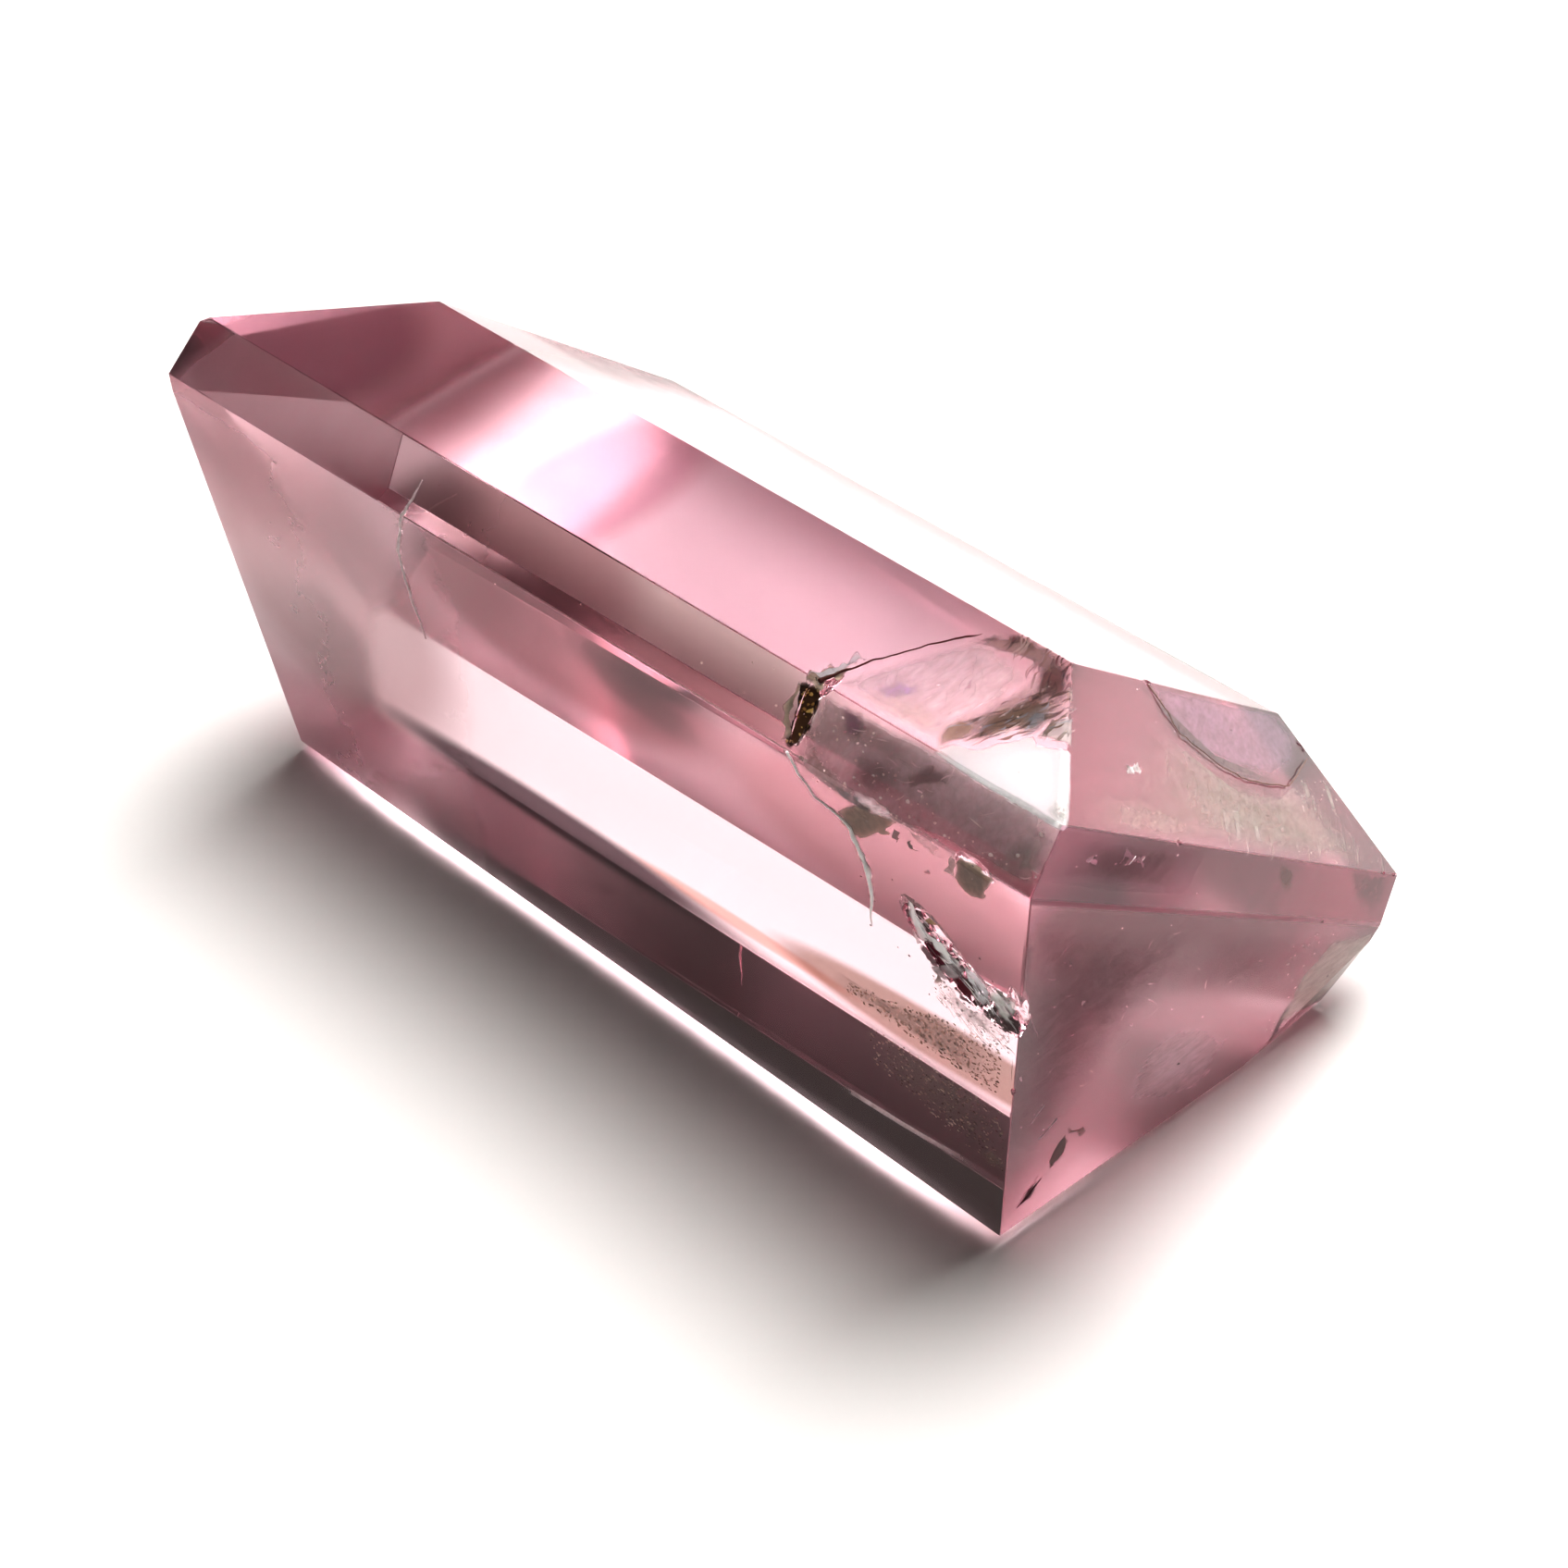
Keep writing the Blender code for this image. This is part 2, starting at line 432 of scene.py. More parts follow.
def cutAway(body, cutters):
    # takes every cutter out of the body in turn, then deletes the cutters
    for cutter in cutters:
        outwardFaces(cutter)
        knock = body.modifiers.new(cutter.name, "BOOLEAN")
        knock.operation = "DIFFERENCE"
        knock.solver = "EXACT"
        knock.object = cutter
    bpy.context.view_layer.update()
    ready = body.evaluated_get(bpy.context.evaluated_depsgraph_get())
    finished = bpy.data.meshes.new_from_object(ready)
    body.modifiers.clear()
    body.data = finished
    for cutter in cutters:
        bpy.data.objects.remove(cutter, do_unlink=True)


def flatFacets():
    # gathers the solid's faces by plane; the large planes are its polished facets
    mesh = stoneNode.data
    leastCosine, mostApart = stone["samePlane"]
    groups = []
    for face in sorted(mesh.polygons, key=lambda face: -face.area):
        normal, spot = np.array(face.normal), np.array(mesh.vertices[face.vertices[0]].co) / mm
        for group in groups:
            if group[0] @ normal > leastCosine and abs(group[0] @ spot - group[1]) < mostApart:
                group[2] += face.area / mm ** 2
                break
        else:
            groups.append([normal, float(normal @ spot), face.area / mm ** 2])
    return [(normal, distance) for normal, distance, area in groups if area > stone["leastFacet"]]


def polishedBody(facets):
    # a block cut down by every facet's plane: the stone without its chips, its edges slightly worn
    work = bmesh.new()
    bmesh.ops.create_cube(work, size=stone["roughEdge"] * mm)
    for normal, distance in facets:
        parts = work.verts[:] + work.edges[:] + work.faces[:]
        cut = bmesh.ops.bisect_plane(work, geom=parts, dist=1e-9, plane_co=Vector(normal * distance * mm),
                                     plane_no=Vector(normal), clear_outer=True)
        rim = [item for item in cut["geom_cut"] if isinstance(item, bmesh.types.BMEdge)]
        if rim:
            bmesh.ops.contextual_create(work, geom=rim)
    bmesh.ops.remove_doubles(work, verts=work.verts, dist=stone["mergeReach"] * mm)
    bmesh.ops.recalc_face_normals(work, faces=work.faces)
    print("body", len(work.verts), "corners", len(work.faces), "facets")
    bmesh.ops.bevel(work, geom=work.edges[:], offset=stone["edgeRound"] * mm, segments=2,
                    profile=stone["edgeProfile"], affect="EDGES", clamp_overlap=True)
    return work


facetCorners = {
    # a facet's way out, then three corners in mm:
    # where it starts, which way is along, which way is across
    "crown": ((-0.01, -0.02, 1.0), (9.034, -4.374, 8.855), (-8.841, -4.376, 8.656), (6.912, -1.619, 8.876)),
    "girdle": ((-0.01, -0.77, 0.64), (9.034, -4.374, 8.855), (-8.841, -4.376, 8.656), (9.145, -5.04, 8.05)),
    "pavilion": ((0.01, -0.99, -0.16), (9.145, -5.04, 8.05), (-9.114, -5.095, 7.784), (8.385, -3.75, 0)),
    "endCrown": ((0.60, 0.46, 0.66), (9.034, -4.374, 8.855), (9.035, 5.09, 2.257), (6.9, 4.12, 4.888)),
    "endGirdle": ((0.99, 0.06, 0.09), (9.034, -4.374, 8.855), (9.035, 5.09, 2.257), (9.145, -5.04, 8.05)),
    "endPavilion": ((0.99, -0.07, -0.10), (9.145, -5.04, 8.05), (9.126, 4.71, 1.472), (8.385, -3.75, 0)),
}


def facetFrame(name, facets):
    # start, along, across and way out of the facet, with the corners moved onto its plane
    outward, start, along, across = [np.array(item, float) for item in facetCorners[name]]
    normal, distance = max(facets, key=lambda facet: facet[0] @ outward)
    start = start + normal * (distance - normal @ start)
    along = along - start
    along = unit(along - normal * (normal @ along))
    across = across - start
    across = across - normal * (normal @ across)
    return start, along, unit(across - along * (along @ across)), normal


paintedShadeTints = {
    # painted shade: each tint darkens what is seen through the stone in an oval on a facet
    # a faint colour along a line on a facet:
    # facet, from (along, across) mm, to, half width mm, softness, colour
    "crownRose": ("crown", (11.4, 1.4), (3.0, 1.4), 2.4, 0.5, (0.62, 0.64, 0.68)),
    "crownPatch": ("crown", (11.0, 1.0), (8.8, 1.2), 2.4, 0.5, (0.76, 0.50, 0.56)),
    "crownCrimson": ("crown", (18.6, 0.4), (14.2, 0.6), 2.2, 0.4, (0.46, 0.32, 0.38)),
    "girdleFar": ("girdle", (18.5, 0.5), (11.0, 0.5), 1.4, 0.4, (0.32, 0.30, 0.30)),
    "girdleMiddle": ("girdle", (12.2, 0.6), (3.6, 0.6), 1.1, 0.4, (0.46, 0.54, 0.46)),
    "girdleShade": ("girdle", (12.0, 0.5), (7.6, 0.5), 1.1, 0.6, (0.62, 0.44, 0.48)),
    "girdleNear": ("girdle", (3.2, 0.7), (-0.9, 0.7), 0.9, 0.4, (0.56, 0.60, 0.58)),
    "pavilionRose": ("pavilion", (12.4, 0.7), (5.6, 0.7), 1.2, 0.4, (0.42, 0.28, 0.29)),
    "pavilionSalmon": ("pavilion", (5.6, 1.0), (-0.6, 1.0), 1.2, 0.4, (0.58, 0.44, 0.44)),
    "pavilionFar": ("pavilion", (18.0, 1.4), (12.4, 4.4), 3.0, 0.5, (0.48, 0.38, 0.38)),
    "bandFoot": ("pavilion", (14.2, 5.2), (6.0, 5.0), 0.40, 0.6, (0.04, 0.025, 0.03)),
    "bandGold": ("pavilion", (8.2, 4.72), (3.6, 4.58), 0.16, 0.7, (0.85, 0.50, 0.40)),
    "bandEnd": ("pavilion", (5.0, 4.46), (-1.6, 4.08), 0.56, 0.35, (0.30, 0.20, 0.16)),
    "roseShade": ("pavilion", (8.6, 0.5), (6.4, 0.9), 0.45, 0.9, (0.32, 0.34, 0.32)),
    "endPlum": ("endPavilion", (0.2, 0.6), (5.0, 3.6), 1.5, 0.6, (0.52, 0.30, 0.36)),
    "endPlumTop": ("endPavilion", (-0.6, 0.2), (9.6, 0.4), 1.0, 0.5, (0.70, 0.40, 0.50)),
    "girdlePlum": ("endGirdle", (-1.0, 0.5), (4.6, 0.5), 1.0, 0.4, (0.60, 0.30, 0.42)),
}


def facetMasks(tree, place, frames):
    # 1 on each facet and 0 elsewhere, rising over the last hundredths of a millimetre below its plane
    masks = {}
    for name, (start, _, _, normal) in frames.items():
        masks[name] = tree.step(tree.dot(place, normal) - float(normal @ start), *stone["skin"])
    return masks


def layPaintedShade(tree, place, frames, masks):
    # painted shade: the tints darken and tint the facets along their lines
    # each line's colour is laid on with the strength of its oval, where u * u + v * v < 1,
    # with u along the line in its half lengths and v across it in its half widths
    color, far = (1, 1, 1, 1), 1e6
    for facet, first, last, width, soft, tint in paintedShadeTints.values():
        start, along, across, normal = frames[facet]
        first, last = [start + spot[0] * along + spot[1] * across for spot in (first, last)]
        line, reach = unit(last - first), float(np.linalg.norm(last - first)) / 2
        turn = Matrix((line, np.cross(normal, line), normal)).transposed().to_euler()
        values = {"Vector": place, "Location": (first + last) / 2, "Rotation": turn}
        values["Scale"] = (reach, width, far)
        spot = tree.node("ShaderNodeMapping", {"vector_type": "TEXTURE"}, values)
        inside = tree.step(tree.dot(spot, spot), 1 + soft, 1 - soft) * masks[facet]
        color = tree.mix(inside, color, (*tint, 1), "MULTIPLY")
    return color


def stoneMaterial(frames):
    # roughness = (frost of the facet + haze of the far half + haze along the crown) * wear;
    # the painted shade tints darken parts of the surface, and the absorption colours the inside
    tree = Tree("pinkTourmaline")
    place = tree.place()
    masks = facetMasks(tree, place, frames)
    frost = 0.0
    for name, rough in stone["frost"].items():
        frost = masks[name] * rough + frost
    reach = tree.step(tree.dot(place, (-1.0, 0.0, 0.0)), *stone["farReach"])
    level = tree.step(tree.dot(place, (0.0, 0.0, 1.0)), *stone["farLevel"])
    haze = reach * level * stone["farFrost"]
    start, along, _, _ = frames["crown"]
    run = tree.step(tree.dot(place, along) - float(along @ start), *stone["crownReach"])
    haze = masks["crown"] * run * stone["crownFrost"] + haze
    wear = tree.noise(place, 1.3, 3, 0.6) * stone["wear"][0] + stone["wear"][1]
    tree.set(base_color=layPaintedShade(tree, place, frames, masks), roughness=(frost + haze) * wear)
    tree.set(ior=stone["ior"], transmission_weight=1.0)
    tree.set(coat_weight=masks["endCrown"] * stone["crownGloss"])
    tree.set(coat_roughness=stone["glossRoughness"], coat_ior=stone["glossIor"])
    values = {"Color": stone["absorbColor"], "Density": stone["absorbDensity"]}
    volume = tree.node("ShaderNodeVolumeAbsorption", None, values)
    tree.feed(tree.output.inputs["Volume"], volume)
    return tree.material


def makeStone():
    # the polished body with the shells, the grooves and the nicks cut out of it
    facets = flatFacets()
    frames = {name: facetFrame(name, facets) for name in facetCorners}
    work = polishedBody(facets)
    mesh = bpy.data.meshes.new("cutStone")
    work.to_mesh(mesh)
    work.free()
    body = linked("cutStone", mesh)
    cutters = [shellCutter(name, spec) for name, spec in shells.items()]
    cutters += [grooveCutter(name) for name in grooves]
    cutters += [nickCutter(name, spec) for name, spec in nickedEdges.items()]
    cutAway(body, cutters)
    body.data.materials.clear()
    body.data.materials.append(stoneMaterial(frames))
    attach(body, "root")
    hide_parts("tourmaline")
    print("stone", len(body.data.polygons), "faces")
    return facets, frames


facets, frames = makeStone()
print("stone made")


patches = {
    # films seen through a facet, fracture stains and painted light and shade: facet, depth below it in mm,
    # colour, cover, softness of the rim, raggedness in mm, outline as (along, across) in mm
    "paleHaze": ("crown", 0.16, (0.93, 0.89, 0.89), 0.4, 0.3, 0.02, [
        (4.24, 0.12), (3.95, 0.98), (3.55, 2.1), (3.3, 2.55), (2.75, 2.42), (2.35, 2.2), (2.2, 1.6),
        (2.32, 0.9), (2.38, 0.14)]),
    "goldGlow": ("crown", 0.15, (0.92, 0.84, 0.70), 0.25, 0.8, 0.05, [
        (4.08, 0.14), (3.68, 0.63), (2.91, 0.81), (2.25, 0.63), (2.3, 0.16), (3.24, 0.06)]),
    "lilacGlow": ("crown", 0.145, (0.62, 0.5, 0.8), 0.4, 0.6, 0.05, [
        (3.77, 0.45), (3.61, 0.84), (3.23, 0.99), (3.14, 0.73), (3.44, 0.37)]),
    # painted light: a white film in place of the brightly lit paper seen through the crown beside the veil
    "window": ("crown", 0.14, (1, 1, 1), 1, 0.02, 0.02, [
        (2.24, 0.08), (2.17, 0.31), (1.94, 0.38), (1.79, 0.51), (1.76, 0.73), (1.59, 0.95), (1.56, 1.18),
        (1.46, 1.2), (1.34, 1.09), (1.17, 1.18), (0.99, 1.33), (0.55, 0.82), (0.08, 0.24), (0.02, 0.04),
        (0.17, 0.02), (1.08, 0.02), (1.74, 0.04)]),
    "windowShade": ("crown", 0.13, (0.74, 0.76, 0.70), 0.4, 0.9, 0.05, [
        (0.41, 0.12), (0.47, 0.42), (0.34, 0.55), (0.02, 0.14), (0.03, -0)]),
    "shards": ("crown", 0.125, (0.88, 0.86, 0.84), 0.85, 0.4, 0.06, [
        (1.52, 1.61), (1.41, 1.89), (1.01, 1.4), (1.25, 1.29), (1.47, 1.19)]),
    "shardShadow": ("crown", 0.12, (0.4, 0.36, 0.3), 0.75, 0.5, 0.16, [
        (1.47, 1.27), (1.52, 1.56), (1.54, 2.05), (1.45, 1.91), (1.44, 1.58), (1.33, 1.21)]),
    "shardShadowLow": ("crown", 0.118, (0.52, 0.48, 0.42), 0.6, 0.6, 0.16, [
        (1.2, 1.18), (1.26, 1.48), (1.24, 1.66), (1.17, 1.57), (1.14, 1.33)]),
    "veilSoft": ("crown", 0.115, (0.46, 0.38, 0.33), 0.55, 0.7, 0.06, [
        (2.53, 0.2), (2.49, 0.75), (2.41, 1.23), (2.33, 1.78), (2.31, 2.26), (2.01, 2.45), (1.7, 2.24),
        (1.68, 1.67), (1.68, 1.28), (1.77, 0.83), (1.94, 0.46), (2.23, 0.23)]),
    "veil": ("crown", 0.11, (0.34, 0.26, 0.20), 0.86, 0.6, 0.07, [
        (2.32, 0.89), (2.22, 1.31), (2.03, 1.78), (1.87, 2.12), (1.74, 2.28), (1.37, 1.84), (1.43, 1.51),
        (1.52, 1.17), (1.81, 1.07), (1.85, 0.69), (1.97, 0.4), (2.21, 0.53)]),
    "veilEdge": ("crown", 0.105, (0.52, 0.41, 0.29), 0.75, 0.6, 0.08, [
        (2.45, 0.29), (2.43, 0.64), (2.34, 0.96), (2.1, 0.86), (2.05, 0.49), (2.17, 0.2), (2.25, 0.07)]),
    "tealFlake": ("crown", 0.1, (0.50, 0.60, 0.64), 0.5, 0.9, 0.08, [
        (1.87, 1.34), (1.87, 1.78), (1.7, 1.89), (1.48, 1.6), (1.5, 1.15), (1.69, 1.13)]),
    "redZone": ("crown", 0.115, (0.22, 0.11, 0.10), 0.88, 0.6, 0.07, [
        (2.46, 2.41), (2.45, 2.78), (2.18, 2.8), (1.67, 2.2), (1.77, 1.9), (1.92, 1.61), (2.17, 2)]),
    "veilStroke": ("crown", 0.112, (0.46, 0.36, 0.32), 0.7, 0.6, 0.06, [
        (3.53, 2.12), (3.55, 2.4), (3.21, 2.71), (2.87, 2.87), (2.47, 2.85), (2.12, 2.75), (1.97, 2.4),
        (2.29, 2.4), (2.69, 2.44), (3.04, 2.3)]),
    "redPale": ("crown", 0.1, (0.62, 0.5, 0.48), 0.6, 0.8, 0.2, [
        (2.45, 2.24), (2.58, 2.59), (2.6, 2.84), (2.53, 2.82), (2.45, 2.47), (2.34, 2.18)]),
    "smudgeLeft": ("crown", 0.11, (0.34, 0.22, 0.2), 0.6, 0.9, 0.1, [
        (3.41, 2.21), (3.37, 2.4), (3.31, 2.58), (3.2, 2.6), (3.18, 2.47), (3.29, 2.27)]),
    "smudgeRight": ("crown", 0.11, (0.26, 0.17, 0.15), 0.75, 0.8, 0.1, [
        (3.21, 2.62), (3.16, 2.79), (2.92, 2.79), (2.67, 2.73), (2.68, 2.58), (2.88, 2.59), (3.05, 2.54)]),
    "tick": ("crown", 0.09, (0.36, 0.26, 0.3), 0.7, 0.5, 0.1, [
        (2.8, 1.25), (2.85, 1.4), (2.87, 1.56), (2.79, 1.43), (2.78, 1.3)]),
    "mouthRim": ("crown", 0.03, (0.62, 0.52, 0.42), 0.95, 0.3, 0.2, [
        (4.44, -0.19), (4.48, -0), (4.44, 0.25), (4.33, 0.5), (4.23, 0.54), (4.23, 0.31), (4.24, 0.04),
        (4.26, -0.13), (4.37, -0.15)]),
    "mouthWhite": ("crown", 0.02, (1, 0.98, 0.96), 0.95, 0.3, 0.2, [
        (4.58, -0.04), (4.51, 0.21), (4.36, 0.44), (4.19, 0.76), (4.12, 0.83), (4.22, 0.47), (4.4, 0.2),
        (4.47, -0.05)]),
    "mouthFill": ("girdle", 0.07, (0.09, 0.05, 0.03), 1, 0.1, 0.05, [
        (4.55, 0.12), (4.27, 0.03), (4.11, 0.33), (4.09, 0.68), (4.21, 1.02), (4.35, 0.98),
        (4.44, 0.56), (4.51, 0.31)]),
    "mouthPale": ("girdle", 0.012, (0.95, 0.86, 0.80), 0.95, 0.3, 0.1, [
        (4.51, 0.09), (4.51, 0.34), (4.45, 0.64), (4.32, 0.96), (4.39, 1.03), (4.55, 0.69),
        (4.6, 0.39), (4.6, 0.14)]),
    "mottle": ("girdle", 0.1, (0.50, 0.41, 0.38), 0.45, 0.8, 0.08, [
        (4.24, 0.11), (3.48, 0.06), (2.58, 0.03), (2.11, 0.07), (2.13, 0.36), (2.63, 0.48), (3.25, 0.56),
        (3.72, 0.63), (4.05, 0.51)]),
    "paleLow": ("girdle", 0.095, (0.64, 0.6, 0.57), 0.55, 0.6, 0.14, [
        (4.22, 1.06), (4.05, 0.73), (3.65, 0.81), (3.25, 1.1), (2.93, 1.19), (3.03, 1.44), (3.41, 1.41),
        (3.76, 1.29)]),
    "blueGrey": ("girdle", 0.09, (0.5, 0.55, 0.56), 0.6, 0.5, 0.14, [
        (3.39, 1.2), (3.22, 1.06), (2.97, 1.07), (2.84, 1.23), (2.96, 1.42), (3.19, 1.38)]),
    "purpleBlot": ("girdle", 0.085, (0.26, 0.13, 0.22), 0.55, 0.7, 0.12, [
        (3.78, 0.07), (3.56, 0.1), (3.37, 0.23), (3.31, 0.43), (3.5, 0.47), (3.7, 0.31)]),
    "brownBlot": ("girdle", 0.085, (0.3, 0.2, 0.19), 0.5, 0.6, 0.14, [
        (2.43, 0.51), (2.3, 0.28), (2.04, 0.18), (1.77, 0.2), (1.76, 0.31), (2.11, 0.49), (2.28, 0.63)]),
    "darkMottle": ("girdle", 0.09, (0.40, 0.31, 0.31), 0.42, 0.8, 0.1, [
        (3.42, 0.55), (2.91, 0.44), (2.46, 0.49), (2.37, 0.82), (2.68, 1.06), (3.19, 1)]),
    "greenEnd": ("girdle", 0.09, (0.56, 0.62, 0.56), 0.4, 0.9, 0.1, [
        (0.92, 1), (0.54, 0.46), (0.14, 0.02), (0.03, 0.01), (-0.18, 0.79), (-0.06, 1), (0.41, 1.11)]),
    # painted shade: a grey film that greys and darkens the girdle facet where the fracture mirrors shaded
    # things
    "greyWash": ("girdle", 0.11, (0.60, 0.55, 0.55), 0.6, 0.15, 0.04, [
        (4.29, 0.14), (2.32, 0.04), (0.09, 0.02), (-0.15, 0.9), (0.8, 0.94), (1.94, 1.05), (3.04, 1.42),
        (4.2, 1.05)]),
    "oliveChip": ("pavilion", 0.03, (0.74, 0.62, 0.50), 1, 0.2, 0.16, [
        (3.55, 0.7), (3.31, 0.42), (3.05, 0.2), (2.75, 0.18), (2.44, 0.06), (2.27, 0.06), (2.46, 0.31),
        (2.56, 0.56), (2.75, 0.61), (2.94, 0.83), (3.12, 0.91), (3.29, 0.88), (3.45, 0.76)]),
    "oliveChipLow": ("pavilion", 0.03, (0.68, 0.57, 0.47), 1, 0.12, 0.08, [
        (1.34, 0.22), (1.23, 0.04), (0.94, 0.02), (0.66, 0.09), (0.72, 0.29), (0.81, 0.57), (1.01, 0.66),
        (1.2, 0.59), (1.34, 0.51)]),
    "chipFlake": ("pavilion", 0.025, (0.93, 0.9, 0.88), 0.95, 0.3, 0.2, [
        (1.5, 0.24), (1.34, 0.05), (1.28, 0.11), (1.35, 0.37), (1.31, 0.5), (1.45, 0.48)]),
    "edgeGlow": ("pavilion", 0.05, (0.78, 0.72, 0.68), 0.5, 0.8, 0.2, [
        (2.39, 0.1), (2.06, 0.06), (1.73, 0.02), (1.33, 0.05), (1.44, 0.29), (1.83, 0.3), (2.16, 0.25)]),
    "biteOne": ("pavilion", 0.03, (0.36, 0.22, 0.22), 0.85, 0.3, 0.2, [
        (2.39, 0.23), (2.27, 0.2), (2.3, 0.4), (2.38, 0.56), (2.42, 0.43)]),
    "biteTwo": ("pavilion", 0.03, (0.33, 0.26, 0.24), 0.9, 0.3, 0.2, [
        (2.18, 0.36), (2.06, 0.24), (1.97, 0.4), (2.01, 0.49), (2.12, 0.46)]),
    "dashA": ("pavilion", 0.03, (0.4, 0.2, 0.22), 0.8, 0.4, 0.1, [
        (1.9, 0.76), (1.81, 0.68), (1.76, 0.74), (1.85, 0.78)]),
    "chipStrip": ("pavilion", 0.05, (1, 0.98, 0.98), 0.98, 0.12, 0.08, [
        (2.31, 1.62), (2.23, 1.66), (2.11, 1.9), (1.92, 2.07), (1.59, 2.17), (1.39, 2.3), (1.24, 2.5),
        (1.37, 2.52), (1.68, 2.51), (1.84, 2.48), (1.9, 2.24), (2.03, 2.27), (2.15, 2.43), (2.24, 2.3),
        (2.29, 1.99)]),
    "chipTip": ("pavilion", 0.04, (0.3, 0.2, 0.2), 0.85, 0.3, 0.1, [
        (2.32, 1.5), (2.18, 1.46), (1.98, 1.53), (2.02, 1.63), (2.19, 1.6), (2.29, 1.57)]),
    "chipGold": ("pavilion", 0.035, (0.4, 0.3, 0.14), 0.9, 0.35, 0.2, [
        (2.02, 1.84), (1.87, 1.66), (1.74, 1.67), (1.59, 1.72), (1.73, 1.76), (1.9, 1.87)]),
    "crimsonPocket": ("pavilion", 0.045, (0.22, 0.05, 0.08), 0.95, 0.3, 0.12, [
        (2.15, 2.47), (2, 2.24), (1.86, 2.2), (1.77, 2.34), (1.67, 2.47), (1.58, 2.55), (1.75, 2.68),
        (1.89, 2.71), (2.03, 2.69), (2.13, 2.6)]),
    "greyPocket": ("pavilion", 0.042, (0.58, 0.52, 0.54), 0.92, 0.3, 0.15, [
        (1.96, 2.76), (1.78, 2.59), (1.5, 2.38), (1.33, 2.41), (1.41, 2.67), (1.66, 2.81), (1.87, 2.89)]),
    "crimsonLow": ("pavilion", 0.04, (0.2, 0.05, 0.07), 0.95, 0.3, 0.15, [
        (1.46, 2.62), (1.3, 2.49), (1.21, 2.71), (1.11, 2.95), (1.17, 3.07), (1.3, 3.01), (1.43, 2.87)]),
    "glassLobe": ("pavilion", 0.035, (0.96, 0.94, 0.97), 0.9, 0.35, 0.1, [
        (1.29, 2.26), (1.08, 2.15), (0.92, 2.26), (0.84, 2.59), (0.96, 2.91), (1.07, 2.88), (1.18, 2.65),
        (1.27, 2.48)]),
    "greyLobe": ("pavilion", 0.03, (0.90, 0.92, 0.90), 0.85, 0.4, 0.12, [
        (0.87, 2.45), (0.66, 2.3), (0.4, 2.35), (0.38, 2.63), (0.49, 2.95), (0.69, 2.86), (0.81, 2.68)]),
    "lobeLine": ("pavilion", 0.025, (0.25, 0.22, 0.22), 0.9, 0.3, 0.1, [
        (0.93, 2.78), (0.85, 2.79), (0.66, 2.92), (0.5, 3.03), (0.6, 3.05), (0.79, 2.92)]),
    "lobeDark": ("pavilion", 0.025, (0.35, 0.33, 0.3), 0.9, 0.3, 0.1, [
        (0.76, 2.34), (0.6, 2.29), (0.44, 2.38), (0.54, 2.48), (0.7, 2.44)]),
    "crushHalo": ("pavilion", 0.06, (0.93, 0.93, 0.9), 0.62, 0.95, 0.2, [
        (1.94, 2.86), (1.66, 2.89), (1.23, 3.04), (0.82, 2.93), (0.46, 3.05), (0.51, 3.44), (0.98, 3.49),
        (1.53, 3.47), (1.94, 3.38)]),
    "brownFoot": ("pavilion", 0.04, (0.34, 0.26, 0.2), 0.8, 0.4, 0.2, [
        (1.89, 2.75), (1.76, 2.77), (1.56, 2.77), (1.66, 2.89), (1.84, 2.9)]),
    # painted shade: the shaded paper behind the stone seen through it, gold-tinted, and below it the same
    # paper mirrored darker
    "paperShadeGold": ("pavilion", 0.08, (0.72, 0.62, 0.50), 0.45, 0.6, 0.06, [
        (4.11, 4.3), (2.84, 4.14), (1.75, 3.68), (0.65, 3.57), (0.77, 4.68), (1.81, 4.66), (2.88, 4.62),
        (4.15, 4.6)]),
    "paperShadeDark": ("pavilion", 0.085, (0.30, 0.25, 0.22), 0.45, 0.8, 0.08, [
        (3.61, 4.93), (2.87, 4.85), (2.15, 4.8), (0.68, 4.8), (0.77, 6.33), (1.34, 6.32), (2.23, 6.18),
        (3.15, 6.04)]),
    "olivePatch": ("pavilion", 0.05, (0.36, 0.35, 0.28), 0.55, 0.6, 0.15, [
        (1.23, 6.32), (0.96, 6.01), (0.74, 6.03), (0.77, 6.47), (1.02, 6.55)]),
    "paleThread": ("pavilion", 0.03, (0.75, 0.75, 0.74), 0.75, 0.5, 0.01, [
        (4.15, 7), (2.66, 6.88), (1.21, 6.68), (1.19, 6.84), (2.68, 7.06), (4.18, 7.18)]),
    # painted shade: plum films just outside the end pavilion facet darken its upper part
    "plumShade": ("endPavilion", -0.003, (0.30, 0.15, 0.18), 0.42, 1.0, 0.02, [
        (-0.02, 0.05), (3.4, 0.05), (5.6, 0.1), (5.8, 1.5), (5.2, 2.9), (4.9, 4.4), (3.9, 4.2),
        (2.2, 2.6), (0.8, 1.0)]),
    "plumShadeRight": ("endPavilion", -0.003, (0.42, 0.24, 0.28), 0.2, 1.0, 0.02, [
        (4.6, 0.1), (9.0, 0.1), (11.6, 0.2), (11.8, 1.0), (9.6, 1.6), (7.2, 1.7), (5.2, 1.6)]),
    "rosyGlow": ("endPavilion", 0.02, (1, 0.84, 0.91), 0.7, 1.0, 0.03, [
        (5.5, 2.6), (6, 1.8), (7.7, 1.6), (9.6, 2.1), (10, 3), (9.5, 3.6), (8.2, 3.9), (6.4, 3.9)]),
    # painted shade: a plum film just outside the end girdle facet darkens it
    "plumGirdleShade": ("endGirdle", -0.003, (0.30, 0.16, 0.18), 0.40, 1.0, 0.02, [
        (0.1, 0.06), (2.4, 0.04), (4.4, 0.06), (4.2, 0.72), (2.2, 0.80), (-0.2, 0.76)]),
    "crimsonFringe": ("endPavilion", 0.05, (0.35, 0.1, 0.16), 0.6, 0.7, 0.2, [
